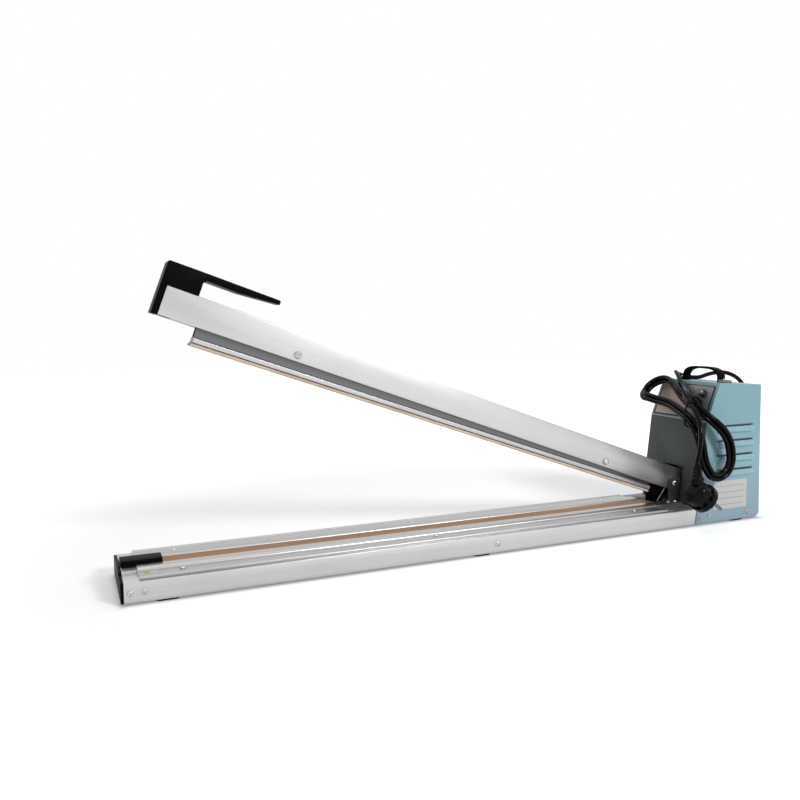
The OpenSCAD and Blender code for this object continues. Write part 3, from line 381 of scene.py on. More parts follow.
@dataclass(frozen=True)
class Paint:
    """Stoved paint with a fine orange peel and faint handling marks."""

    colour: Rgb
    shade: Rgb
    roughness: float = 0.4
    peel: float = 700.0
    depth: float = 0.05 * MM
    coat: float = 0.0

    def material(self, name: str) -> bpy.types.Material:
        """Build the material under a name.

        Args:
            name: The material's name.

        Returns:
            The material.
        """
        look = Look(name)
        peel = look.noise(self.peel, 2.0)
        cloud = look.noise(9.0, 4.0, seed=2.0)
        marks = look.noise(260.0, 3.0, (1.0, 1.0, 0.12), 5.0).step(0.6, 0.8)
        colour = look.mix(cloud.step(0.3, 0.7), self.shade, self.colour)
        colour = look.mix((peel - 0.5).size() * 0.3, colour, self.shade)
        return look.done(
            Base_Color=self.tinted(look, colour),
            Roughness=marks * 0.08 + (cloud - 0.5) * 0.1 + self.roughness,
            Coat_Weight=self.coat,
            Coat_Roughness=0.15,
            Normal=look.bump(peel, self.depth, 0.35),
        )

    def tinted(self, look: Look, colour: Value) -> Value:
        """Leave the paint as it is; a cover adds its own marks here."""
        return colour


@dataclass(frozen=True)
class CoverPaint(Paint):
    """Housing paint with painted shade in the louvre mouths, on the slope round the panel and on
    the inner faces, painted highlights on the louvres' crowns, and sides lightened as painted
    light.

    Attributes:
        bend: Where the slope starts, as x and z.
        slope: Slope angle in radians.
        louvres: Heights of the louvres' mouths.
        span: Where the mouths start and end along X.
        foot: Where the front plate starts, as x and z.
        reach: Outside of the cover as its right end, roof and half width.
        fall: How far the roof falls towards the back.
        skin: Depth from which a face is an inner one.
        plate: That depth under the front plate.
        rim: Half width of the slope that has the painted shade.
        highlight_drop: How far a crown's painted highlight lies under its mouth.
        mouth_shade: Painted shade inside the mouths.
        frame: Painted shade of the slope.
        inside: Painted shade of the inner faces, near black where only shade falls.
        middle: Colour of the sides at the louvres, lighter as painted light that evens out the
            lamps' fall-off.
        crown_highlight: Painted highlight on the louvres' crowns.
        low: Colour of the sides near the foot, paler as painted light thrown up from the floor.
    """

    bend: tuple[float, float] = (0.0, 0.0)
    slope: float = 0.0
    louvres: tuple[float, ...] = ()
    span: tuple[float, float] = (0.0, 0.0)
    foot: tuple[float, float] = (0.0, 0.0)
    reach: Point = (0.0, 0.0, 0.0)
    fall: float = 4.0 * MM
    skin: float = 0.6 * MM
    plate: float = 2.5 * MM
    rim: float = 52.0 * MM
    highlight_drop: float = 5.5 * MM
    mouth_shade: Rgb = (22, 30, 33)
    frame: Rgb = (92, 122, 128)
    inside: Rgb = (9, 11, 12)
    middle: Rgb = (129, 168, 178)
    crown_highlight: Rgb = (150, 190, 200)
    low: Rgb = (138, 161, 175)

    def tinted(self, look: Look, colour: Value) -> Value:
        """Paint shade into the louvre mouths, the slope and the inner faces, paint highlights on
        the crowns, and lighten the sides as painted light.

        Args:
            look: The material.
            colour: The plain paint.

        Returns:
            The marked paint.
        """
        along, across, height = (look.axis(name) for name in "XYZ")
        # Painted light: lighter sides at the louvres and paler sides near the foot
        colour = look.mix(1.0 - height.step(80 * MM, 150 * MM), colour, self.middle)
        colour = look.mix(1.0 - height.step(10 * MM, 75 * MM), colour, self.low)
        # Height over the slope's plane, and the part of the slope inside of its rim, which gets the
        # painted shade
        rise = (height - self.bend[1]) * math.cos(self.slope)
        off = (along - self.bend[0]) * -math.sin(self.slope) + rise
        shaded_slope = off.band(0.0, 0.5 * MM, 0.2 * MM)
        shaded_slope = shaded_slope * height.step(self.bend[1], self.bend[1] + 1.0 * MM)
        shaded_slope = shaded_slope * (1.0 - across.size().step(self.rim - 0.5 * MM, self.rim + 0.5 * MM))
        colour = look.mix(shaded_slope, colour, self.frame)
        # Depth under the nearest of the sheet's outer faces; the inner faces get a painted shade
        right, roof, half = self.reach
        lean = (self.bend[0] - self.foot[0]) / (self.bend[1] - self.foot[1])
        front = along - self.foot[0] - (height - self.foot[1]) * lean - self.plate
        top = self.bend[0] + (roof - self.bend[1]) / math.tan(self.slope)
        under = height * -1.0 + roof - (along - top) * (self.fall / (right - top))
        depth = (off * -1.0).least(right - along).least(under).least(half - across.size())
        inner = front.least(depth - self.skin).step(0.0, 0.1 * MM)
        colour = look.mix(inner, colour, self.inside)
        middle, half = (self.span[0] + self.span[1]) / 2, (self.span[1] - self.span[0]) / 2
        run = along.band(middle, half, 2.0 * MM)
        for mouth in self.louvres:
            # Painted highlight on each louvre's crown, then painted shade in its mouth
            crown_highlight = height.band(mouth - self.highlight_drop, 1.0 * MM, 4.0 * MM) * run
            colour = look.mix(crown_highlight * 0.55, colour, self.crown_highlight)
            colour = look.mix(height.band(mouth, 0.75 * MM, 0.5 * MM) * run, colour, self.mouth_shade)
        return colour


@dataclass(frozen=True)
class BracketPaint(Paint):
    """Dark bracket whose base plate is worn to a mid grey.

    Attributes:
        top: Height under which the metal is the plate's.
        plate: Colour of the plate.
    """

    top: float = 0.0
    plate: Rgb = (128, 130, 133)

    def tinted(self, look: Look, colour: Value) -> Value:
        """Lighten the base plate.

        Args:
            look: The material.
            colour: The plain paint.

        Returns:
            The worn paint.
        """
        worn = look.noise(120.0, 3.0, seed=8.0).step(0.3, 0.7) * 0.25 + 0.75
        low = 1.0 - look.axis("Z").step(self.top - 0.5 * MM, self.top)
        return look.mix(low * worn, colour, self.plate)


@dataclass(frozen=True)
class Moulded:
    """Moulded plastic or rubber with a fine spark-eroded grain."""

    colour: Rgb
    shade: Rgb
    roughness: float = 0.45
    grain: float = 1800.0
    depth: float = 0.06 * MM
    dust: Rgb = (120, 118, 112)
    dusty: float = 0.04
    soft: float = 0.0
    gloss: float = 0.5

    def material(self, name: str) -> bpy.types.Material:
        """Build the material under a name.

        Args:
            name: The material's name.

        Returns:
            The material.
        """
        look = Look(name)
        grain = look.noise(self.grain, 3.0)
        cloud = look.noise(40.0, 4.0, seed=3.0)
        colour = look.mix(cloud.step(0.3, 0.7), self.shade, self.colour)
        dusted = cloud.step(0.5, 0.8) * grain.step(0.5, 0.7) * self.dusty
        colour = look.mix(dusted, colour, self.dust)
        return look.done(
            Base_Color=colour,
            Roughness=(grain - 0.5) * 0.2 + (cloud - 0.5) * 0.1 + self.roughness,
            Specular_IOR_Level=self.gloss,
            Subsurface_Weight=self.soft,
            Subsurface_Radius=(0.004, 0.003, 0.002),
            Normal=look.bump(grain, self.depth, 0.5),
        )


@dataclass(frozen=True)
class CoatedCloth:
    """Glass cloth coated with brown resin, with a scorched line over the element."""

    colour: Rgb = (180, 135, 86)
    shade: Rgb = (152, 108, 65)
    scorch: Rgb = (118, 80, 47)
    thread: float = 1400.0
    heated: float = 3.0 * MM

    def material(self, name: str) -> bpy.types.Material:
        """Build the material under a name.

        Args:
            name: The material's name.

        Returns:
            The material.
        """
        look = Look(name)
        turn = 2 * math.pi * self.thread
        warp = (look.axis("X") * turn).sine()
        weft = (look.axis("Y") * turn).sine()
        weave = warp * weft * 0.5 + 0.5
        stain = look.noise(30.0, 4.0, (0.3, 1.0, 1.0))
        middle = look.axis("Y").band(0.0, self.heated, 2.0 * MM)
        colour = look.mix(weave * 0.4 + stain * 0.6, self.shade, self.colour)
        colour = look.mix(middle * stain.step(0.25, 0.75) * 0.5, colour, self.scorch)
        return look.done(
            Base_Color=colour,
            Roughness=stain * 0.2 + 0.42,
            Specular_IOR_Level=0.25,
            Normal=look.bump(weave, 0.05 * MM, 0.5),
        )


@dataclass(frozen=True)
class CordJacket:
    """Glossy black cord jacket with a slight lengthwise waviness."""

    colour: Rgb = (2, 2, 2)
    sheen: Rgb = (7, 7, 8)

    def material(self, name: str) -> bpy.types.Material:
        """Build the material under a name.

        Args:
            name: The material's name.

        Returns:
            The material.
        """
        look = Look(name)
        ripple = look.noise(240.0, 3.0)
        dull = look.noise(60.0, 3.0, seed=7.0)
        return look.done(
            Base_Color=look.mix(dull.step(0.35, 0.7), self.colour, self.sheen),
            Roughness=dull * 0.06 + 0.07,
            Specular_IOR_Level=0.09,
            Normal=look.bump(ripple, 0.12 * MM, 0.5),
        )


@dataclass(frozen=True)
class PanelPlate:
    """Brushed plate of the control slope with a printed border and dial ticks.

    Attributes:
        bend: Where the slope starts, as x and z.
        angle: Slope angle in radians.
        length: Height of the plate up the slope.
        half: Half the plate's width.
        dials: Places (y, v) and radii of the dials.
    """

    bend: tuple[float, float]
    angle: float
    length: float
    half: float
    dials: tuple[tuple[float, float, float], ...]
    colour: Rgb = (176, 158, 148)
    shade: Rgb = (158, 138, 128)
    cool: Rgb = (126, 132, 138)
    ink: Rgb = (16, 16, 18)

    def material(self, name: str) -> bpy.types.Material:
        """Build the material under a name.

        Args:
            name: The material's name.

        Returns:
            The material.
        """
        look = Look(name)
        up = (look.axis("X") - self.bend[0]) * math.cos(self.angle)
        up = up + (look.axis("Z") - self.bend[1]) * math.sin(self.angle)
        across = look.axis("Y")
        inside = (up - self.length / 2).size() - self.length / 2
        inside = inside.most(across.size() - self.half)
        ink = inside.step(-1.9 * MM, -1.7 * MM)
        for y, v, radius in self.dials:
            ink = ink.most(self.ticks(across - y, up - v, radius))
        lines = look.noise(1200.0, 4.0, (1.0, 0.03, 1.0))
        cloud = look.noise(25.0, 3.0, seed=6.0)
        metal = look.mix(lines * 0.6 + cloud * 0.4, self.shade, self.colour)
        metal = look.mix(1.0 - across.step(-self.half, self.half * 0.5), metal, self.cool)
        return look.done(
            Base_Color=look.mix(ink, metal, self.ink),
            Metallic=0.6 - ink * 0.6,
            Roughness=lines * 0.1 + ink * 0.1 + 0.36,
            Specular_IOR_Level=0.3,
            Normal=look.bump(lines, 0.01 * MM, 0.5),
        )

    def ticks(self, y: Value, v: Value, radius: float) -> Value:
        """Short radial marks round a dial, with none at the bottom.

        Args:
            y: Distance from the dial's middle across the plate.
            v: Distance from it up the slope.
            radius: The knob's radius.

        Returns:
            1 on a mark and 0 elsewhere.
        """
        far = (y * y + v * v).power(0.5)
        spoke = (y.bearing(v) * 6.0).sine().size()
        ring = far.band(radius + 1.6 * MM, 0.8 * MM, 0.1 * MM)
        return ring * spoke.step(0.86, 0.93) * v.step(-radius, -radius * 0.8)


@dataclass(frozen=True)
class PrintedPlate:
    """Blank rating label: pale foil with ruled lines and no lettering."""

    low: float
    pitch: float
    span: tuple[float, float]
    colour: Rgb = (196, 194, 192)
    shade: Rgb = (184, 180, 176)
    ink: Rgb = (96, 96, 100)

    def material(self, name: str) -> bpy.types.Material:
        """Build the material under a name.

        Args:
            name: The material's name.

        Returns:
            The material.
        """
        look = Look(name)
        height = (look.axis("Z") - self.low) / self.pitch
        row = height.fraction().band(0.5, 0.03, 0.02)
        along = look.axis("X").step(self.span[0], self.span[0] + 0.2 * MM)
        along = along * (1.0 - look.axis("X").step(self.span[1], self.span[1] + 0.2 * MM))
        cloud = look.noise(60.0, 3.0)
        fibre = look.noise(1500.0, 2.0, (1.0, 1.0, 0.2), 3.0)
        colour = look.mix(cloud, self.shade, self.colour)
        return look.done(
            Base_Color=look.mix(row * along * 0.7, colour, self.ink),
            Metallic=0.25,
            Roughness=fibre * 0.15 + 0.38,
            Normal=look.bump(fibre, 0.01 * MM, 0.4),
        )


@dataclass(frozen=True)
class TwoColour:
    """Plain paper sticker whose left part is yellow and whose right part is white."""

    border: float
    left: Rgb = (196, 180, 40)
    right: Rgb = (206, 206, 202)
    shade: Rgb = (170, 160, 90)

    def material(self, name: str) -> bpy.types.Material:
        """Build the material under a name.

        Args:
            name: The material's name.

        Returns:
            The material.
        """
        look = Look(name)
        fibre = look.noise(1200.0, 3.0)
        side = look.axis("X").step(self.border - 0.1 * MM, self.border + 0.1 * MM)
        colour = look.mix(side, self.left, self.right)
        return look.done(
            Base_Color=look.mix(fibre.step(0.55, 0.8) * 0.3, colour, self.shade),
            Roughness=fibre * 0.1 + 0.5,
            Normal=look.bump(fibre, 0.01 * MM, 0.4),
        )


@dataclass(frozen=True)
class Glass:
    """Lens of the pilot lamp, dark while the lamp is off."""

    colour: Rgb = (44, 9, 8)
    core: Rgb = (66, 16, 12)

    def material(self, name: str) -> bpy.types.Material:
        """Build the material under a name.

        Args:
            name: The material's name.

        Returns:
            The material.
        """
        look = Look(name)
        rings = look.noise(500.0, 2.0)
        return look.done(
            Base_Color=look.mix(rings, self.colour, self.core),
            Roughness=rings * 0.08 + 0.08,
            Coat_Weight=0.6,
            Normal=look.bump(rings, 0.02 * MM, 0.3),
        )


class Finishes:
    """Every material of the part, by the record's slot name."""

    def __init__(self) -> None:
        """Build the materials once."""
        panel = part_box("control_panel")
        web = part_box("press_bar")
        cover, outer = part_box("housing_cover")
        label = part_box("rating_plate")
        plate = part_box("front_plate")
        rise = panel[1] - panel[0]
        self.slope = math.atan2(rise.z, rise.x)
        self.bend = (plate[1].x, panel[0].z)
        finishes = {
            "aluminium": Metal((198, 198, 198), (189, 189, 189), 0.34, 0.05, DRAWN),
            "rail_aluminium": Metal((176, 176, 175), (164, 164, 163), 0.32, 0.05, DRAWN),
            "sheet_aluminium": Metal(
                (186, 186, 187), (178, 178, 179), 0.38, 0.04, DRAWN, turn=ARM_OPEN
            ),
            "bar_aluminium": BarMetal(ARM_OPEN, (web[1].y - web[0].y) / 2 - 1.5 * MM),
            "plated_steel": Metal((206, 201, 194), (162, 157, 151), 0.17, 0.08, scale=600.0),
            "chrome": Metal((104, 106, 110), (78, 80, 84), 0.07, 0.04, scale=500.0),
            "clip_steel": Metal((120, 128, 130), (92, 99, 101), 0.22, 0.06),
            "spring_steel": Metal((170, 170, 172), (120, 120, 122), 0.28, 0.1),
            "brass": Metal((206, 168, 96), (170, 132, 70), 0.3),
            "copper": Metal((190, 112, 72), (150, 82, 50), 0.35),
            "nichrome": Metal((120, 112, 106), (84, 78, 76), 0.4),
            "core_steel": Metal((120, 120, 124), (84, 84, 88), 0.5, 0.1, DRAWN, 500.0),
            "blue_paint": CoverPaint(
                (123, 161, 170),
                (117, 155, 164),
                0.4,
                coat=0.1,
                bend=self.bend,
                slope=self.slope,
                louvres=tuple((126.6 - 19.0 * k) * MM for k in range(4)),
                span=(cover.x + 35.0 * MM, cover.x + 93.0 * MM),
                foot=(plate[0].x, plate[0].z),
                reach=(outer.x, outer.z, abs(label[1].y)),
            ),
            # Front plate's dark slate is painted shade: it stands in for the blue paint in shade
            "slate_paint": Paint((58, 64, 62), (51, 57, 55), 0.55),
            "bracket_paint": BracketPaint(
                (72, 73, 74), (60, 61, 62), 0.42, top=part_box("pivot_bracket")[0].z + 4.0 * MM
            ),
            "black_plastic": Moulded((11, 11, 12), (8, 8, 9), 0.42, gloss=0.025, dusty=0.01),
            "foot_rubber": Moulded((22, 22, 22), (15, 15, 15), 0.7, 1200.0, gloss=0.2),
            "silicone": Moulded(
                (216, 196, 172),
                (198, 176, 153),
                0.6,
                900.0,
                dust=(160, 140, 112),
                soft=0.1,
                gloss=0.25,
            ),
            "backing": Moulded((104, 60, 44), (84, 46, 34), 0.6, 1500.0, gloss=0.25),
            "ptfe_cloth": CoatedCloth(),
            "insulation": Moulded((204, 186, 152), (182, 162, 128), 0.7, 1600.0),
            "board": Moulded((34, 82, 52), (24, 62, 40), 0.35, 600.0),
            "lamp_lens": Glass(),
            "cord": CordJacket(),
            "sticker": TwoColour(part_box("front_rail")[0].x + 11.0 * MM),
            "panel_metal": PanelPlate(
                self.bend,
                self.slope,
                rise.xz.length,
                panel[1].y,
                (self.dial("timer_knob"), self.dial("power_knob")),
            ),
            "label": PrintedPlate(
                label[0].z + 2 * MM, 8 * MM, (label[0].x + 4 * MM, label[1].x - 5 * MM)
            ),
        }
        self.made = {name: finish.material(name) for name, finish in finishes.items()}

    def dial(self, node: str) -> tuple[float, float, float]:
        """Find the place of a knob on the slope.

        Args:
            node: The knob's CAD node.

        Returns:
            Its y, its distance from the bend and its radius.
        """
        low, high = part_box(node)
        middle = (low + high) / 2
        place = Vector((middle.x - self.bend[0], middle.z - self.bend[1]))
        up = place.dot(Vector((math.cos(self.slope), math.sin(self.slope))))
        return (middle.y, up, (high.y - low.y) / 2)

    def __getitem__(self, name: str) -> bpy.types.Material:
        """Find a material by its slot name."""
        return self.made[name]


# ---- Mesh work ----


def smooth_route(points: Sequence[Point], parts: int, closed: bool = False) -> list[Vector]:
    """Run a smooth line through every point of a route.

    Args:
        points: The route, in millimetres.
        parts: How many pieces each stretch is cut into.
        closed: Whether the route comes back to its start.

    Returns:
        Points of the line in metres.
    """
    knots = [Vector(p) * MM for p in points]
    if closed:
        padded = [knots[-1], *knots, knots[0], knots[1]]
    else:
        padded = [2 * knots[0] - knots[1], *knots, 2 * knots[-1] - knots[-2]]
    line = []
    for a, b, c, d in zip(padded, padded[1:], padded[2:], padded[3:]):
        for k in range(parts):
            t = k / parts
            bow = (2 * a - 5 * b + 4 * c - d) * t**2 + (3 * b - a - 3 * c + d) * t**3
            line.append(0.5 * (2 * b + (c - a) * t + bow))
    return line if closed else [*line, knots[-1]]


def carried_frames(line: Sequence[Vector], closed: bool) -> list[tuple[Vector, Vector, Vector]]:
    """Carry a cross-section frame along a line without twist.

    Args:
        line: Points of the line.
        closed: Whether the line is a loop; the frames then meet at the ends.

    Returns:
        Tangent, side and second side at each point.
    """
    count = len(line)
    tangents = []
    for i in range(count):
        ahead = line[(i + 1) % count] if closed else line[min(i + 1, count - 1)]
        behind = line[i - 1] if closed else line[max(i - 1, 0)]
        tangents.append((ahead - behind).normalized())
    side = Vector((1.0, 0.0, 0.0))
    if abs(tangents[0].x) > 0.9:
        side = Vector((0.0, 0.0, 1.0))
    sides = []
    for tangent in tangents + tangents[:1]:
        side = (side - side.dot(tangent) * tangent).normalized()
        sides.append(side)
    slip = 0.0
    if closed:
        slip = math.atan2(sides[0].cross(sides[-1]).dot(tangents[0]), sides[0].dot(sides[-1]))
    frames = []
    for i, tangent in enumerate(tangents):
        turned = Matrix.Rotation(-slip * i / count, 3, tangent) @ sides[i]
        frames.append((tangent, turned, tangent.cross(turned)))
    return frames


def strand(
    name: str, line: Sequence[Vector], radius: float, rings: int, closed: bool = False
) -> bpy.types.Object:
    """Run a round curve along a line.

    Args:
        name: The object's name.
        line: Points of the line.
        radius: The section's radius.
        rings: How finely the section is cut, as Blender counts it.
        closed: Whether the line is a loop.

    Returns:
        The curve's object, capped when it is open.
    """
    curve = bpy.data.curves.new(name, "CURVE")
    curve.dimensions = "3D"
    curve.bevel_depth = radius
    curve.bevel_resolution = rings
    curve.use_fill_caps = not closed
    spline = curve.splines.new("POLY")
    spline.points.add(len(line) - 1)
    for point, place in zip(spline.points, line):
        point.co = (*place, 1.0)
    spline.use_smooth = True
    spline.use_cyclic_u = closed
    return bpy.data.objects.new(name, curve)


def lathe(
    profile: Sequence[tuple[float, float]], steps: int, placed: Matrix = Matrix()
) -> bmesh.types.BMesh:
    """Spin a profile round Z.

    Args:
        profile: Radius and height of each corner, in metres.
        steps: How many faces make one turn.
        placed: Where the turned body goes.

    Returns:
        The body, open where the profile ends off the axis.
    """
    bm = bmesh.new()
    verts = [bm.verts.new((r, 0.0, z)) for r, z in profile]
    edges = [bm.edges.new(pair) for pair in zip(verts, verts[1:])]
    bmesh.ops.spin(
        bm,
        geom=verts + edges,
        axis=(0, 0, 1),
        cent=(0, 0, 0),
        angle=2 * math.pi,
        steps=steps,
        use_merge=True,
    )
    bmesh.ops.remove_doubles(bm, verts=bm.verts, dist=WELD)
    bmesh.ops.recalc_face_normals(bm, faces=bm.faces)
    bm.transform(placed)
    return bm


def joined(parts: Iterable[bmesh.types.BMesh]) -> bmesh.types.BMesh:
    """Put several meshes into one and free them.

    Args:
        parts: The meshes.

    Returns:
        The one mesh.
    """
    whole = bmesh.new()
    for part in parts:
        scratch = bpy.data.meshes.new("part")
        part.to_mesh(scratch)
        part.free()
        whole.from_mesh(scratch)
        bpy.data.meshes.remove(scratch)
    return whole


def islands(node: str) -> list[list[Vector]]:
    """Find the points of each separate solid of a CAD node.

    Args:
        node: The CAD node.

    Returns:
        A list of points for each solid.
    """
    bm = bmesh.new()
    bm.from_mesh(frame["nodes"][node].data)
    bmesh.ops.remove_doubles(bm, verts=bm.verts, dist=WELD)
    seen: set[bmesh.types.BMVert] = set()
    groups = []
    for start in bm.verts:
        if start in seen:
            continue
        seen.add(start)
        stack, group = [start], []
        while stack:
            vert = stack.pop()
            group.append(vert.co.copy())
            for edge in vert.link_edges:
                other = edge.other_vert(vert)
                if other not in seen:
                    seen.add(other)
                    stack.append(other)
        groups.append(group)
    bm.free()
    return groups


@dataclass
class Piece:
    """A finished piece: what it is made of, rides on and stands for.

    Attributes:
        name: The piece's name.
        material: Its finish.
        body: What it rides on.
        stands_for: The CAD nodes that it replaces.
        crease: Angle from which an edge is shaded sharp, in degrees.
    """

    name: str
    material: bpy.types.Material
    body: Body
    stands_for: tuple[str, ...] = ()
    crease: float = SHARP

    def make(self, bm: bmesh.types.BMesh) -> bpy.types.Object:
        """Turn the mesh into an object on its body.

        Args:
            bm: The mesh, which is freed.

        Returns:
            The object.
        """
        for face in bm.faces:
            face.smooth = True
        for edge in bm.edges:
            if edge.is_manifold and edge.calc_face_angle(0.0) > math.radians(self.crease):
                edge.smooth = False
        mesh = bpy.data.meshes.new(self.name)
        bm.to_mesh(mesh)
        bm.free()
        return self.dress(bpy.data.objects.new(self.name, mesh))

    def dress(self, obj: bpy.types.Object) -> bpy.types.Object:
        """Link an object, give it its material and body, and hide what it stands for.

        Args:
            obj: The object.

        Returns:
            The same object.
        """
        bpy.context.scene.collection.objects.link(obj)
        obj.data.materials.append(self.material)
        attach(obj, self.body.value)
        if self.stands_for:
            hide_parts(*self.stands_for)
        LOG.info("made %s on %s", self.name, self.body.value)
        return obj


def softened(
    node: str,
    width: float,
    segments: int = 2,
    least: float = 4 * MM,
    chosen: Callable[[bmesh.types.BMEdge], bool] | None = None,
    merge: float = 0.6,
) -> bmesh.types.BMesh:
    """Copy a CAD solid and round its long sharp edges.

    Args:
        node: The CAD node.
        width: Width of the rounding.
        segments: Faces across the rounding.
        least: Shortest edge that is rounded.
        chosen: Further test that an edge has to pass.
        merge: Greatest angle, in degrees, between faces that are joined into one.

    Returns:
        The rounded mesh.
    """
    bm = bmesh.new()
    bm.from_mesh(frame["nodes"][node].data)
    bmesh.ops.remove_doubles(bm, verts=bm.verts, dist=2 * WELD)
    flat = math.radians(merge)
    bmesh.ops.dissolve_limit(bm, angle_limit=flat, verts=bm.verts, edges=bm.edges)
    sharp = [
        e
        for e in bm.edges
        if e.is_manifold
        and e.calc_length() > least
        and e.calc_face_angle_signed(0.0) > math.radians(SHARP)
        and (chosen is None or chosen(e))
    ]
    if sharp and width:
        bmesh.ops.bevel(
            bm,
            geom=sharp,
            offset=width,
            offset_type="OFFSET",
            segments=segments,
            profile=0.5,
            affect="EDGES",
            clamp_overlap=False,
            material=-1,
        )
    bmesh.ops.recalc_face_normals(bm, faces=bm.faces)
    return bm


@dataclass(frozen=True)
class Rounded:
    """A CAD solid that is shown with its long edges rounded.

    Attributes:
        node: The CAD node.
        slot: Its finish.
        width: Width of the rounding, in millimetres, or 0 for none.
        segments: Faces across the rounding.
        least: Shortest edge that is rounded, in millimetres.
        body: What it rides on.
        crease: Angle from which an edge is shaded sharp, in degrees.
        name: The piece's name, where the node's isn't used.
    """

    node: str
    slot: str
    width: float = 0.0
    segments: int = 2
    least: float = 4.0
    body: Body = Body.MACHINE
    crease: float = SHARP
    name: str = ""

    def build(self, finishes: Finishes) -> None:
        """Make the piece from its solid.

        Args:
            finishes: The part's materials.
        """
        shape = softened(self.node, self.width * MM, self.segments, self.least * MM)
        name = self.name or f"{self.node}_dressed"
        Piece(name, finishes[self.slot], self.body, (self.node,), self.crease).make(shape)


# ---- Fasteners ----


@dataclass
class CrossHead:
    """Pan head with a cross recess, drawn at the place of each screw in a CAD node.

    Attributes:
        node: The CAD node.
        body: What the screws ride on.
        axis: Gives a screw's direction from its middle.
        material: Its finish.
        steps: Faces round the head.
        recess: Share of the head's radius that the recess takes.
        slot: Width of the cross against the recess.
        shank: Share of the head's radius that the shank has.
        deep: Height of the recess's floor, as a share of the head's.
    """

    node: str
    body: Body
    axis: Callable[[Vector], Vector]
    material: bpy.types.Material
    steps: int = 32
    recess: float = 0.56
    slot: float = 0.15
    shank: float = 0.45
    deep: float = 0.35

    def build(self) -> bpy.types.Object:
        """Make all the node's screws as one piece."""
        screws = [self.screw(points) for points in islands(self.node)]
        piece = Piece(f"{self.node}_dressed", self.material, self.body, (self.node,), 40.0)
        return piece.make(joined(screws))

    def screw(self, points: list[Vector]) -> bmesh.types.BMesh:
        """Make one screw on the axis of its solid.

        Args:
            points: The solid's points.

        Returns:
            The screw's mesh.
        """
        middle = sum(points, Vector()) / len(points)
        axis = self.axis(middle).normalized()
        along = [(p - middle).dot(axis) for p in points]
        spread = [((p - middle) - (p - middle).dot(axis) * axis).length for p in points]
        radius = max(spread)
        seat = min(a for a, s in zip(along, spread) if s > radius * 0.98)
        turned = axis.to_track_quat("Z", "Y").to_matrix().to_4x4()
        placed = Matrix.Translation(middle + axis * seat) @ turned
        return self.head(radius, max(along) - seat, seat - min(along), placed)

    def head(
        self, radius: float, height: float, length: float, placed: Matrix
    ) -> bmesh.types.BMesh:
        """Model the head, its recess and the shank.

        Args:
            radius: The head's radius.
            height: The head's height.
            length: Length under the head.
            placed: Where the underside of the head goes.

        Returns:
            The mesh.
        """
        hole, neck, top = radius * self.recess, radius * self.shank, height * 0.99
        dome = [(0.0, -length), (neck, -length), (neck, 0.0), (radius * 0.97, 0.0)]
        dome.append((radius, height * 0.12))
        for k in range(1, 6):
            angle = math.radians(90 * k / 6)
            out, up = 0.62 + 0.38 * math.cos(angle), 0.12 + 0.86 * math.sin(angle)
            dome.append((radius * out, height * up))
        bm = lathe([*dome, (hole, top)], self.steps)
        mouth = [e for e in bm.edges if e.is_boundary]
        rim = [bm.verts.new((x, y, top)) for x, y in self.cross(hole * 0.86, hole * self.slot * 2)]
        edges = [bm.edges.new((rim[i - 1], rim[i])) for i in range(len(rim))]
        bmesh.ops.triangle_fill(bm, use_beauty=True, edges=edges + mouth)
        made = bmesh.ops.extrude_edge_only(bm, edges=edges)["geom"]
        floor = [v for v in made if isinstance(v, bmesh.types.BMVert)]
        for vert in floor:
            vert.co = (vert.co.x * 0.75, vert.co.y * 0.75, height * self.deep)
        loop = [e for e in bm.edges if e.is_boundary]
        bmesh.ops.contextual_create(bm, geom=loop)
        bmesh.ops.recalc_face_normals(bm, faces=bm.faces)
        bm.transform(placed)
        return bm

    def cross(self, reach: float, half: float) -> list[tuple[float, float]]:
        """Find the corners of a cross, counter-clockwise.

        Args:
            reach: Half its length.
            half: Half the width of its arms.

        Returns:
            The corners, as x and y.
        """
        corner = [(reach, -half), (reach, half), (half, half)]
        turned = []
        for quarter in range(4):
            angle = quarter * math.pi / 2
            c, s = round(math.cos(angle)), round(math.sin(angle))
            turned += [(x * c - y * s, x * s + y * c) for x, y in corner]
        return turned


def upwards(_: Vector) -> Vector:
    """Axis of a screw driven from above."""
    return Vector((0.0, 0.0, 1.0))


def outwards(middle: Vector) -> Vector:
    """Axis of a screw driven from the nearer long side."""
    return Vector((0.0, math.copysign(1.0, middle.y), 0.0))


def into_channel(_: Vector) -> Vector:
    """Axis of the handle's screws, whose heads face down into the open arm's channel."""
    return Vector((-math.sin(ARM_OPEN), 0.0, -math.cos(ARM_OPEN)))


# ---- Mains cord ----


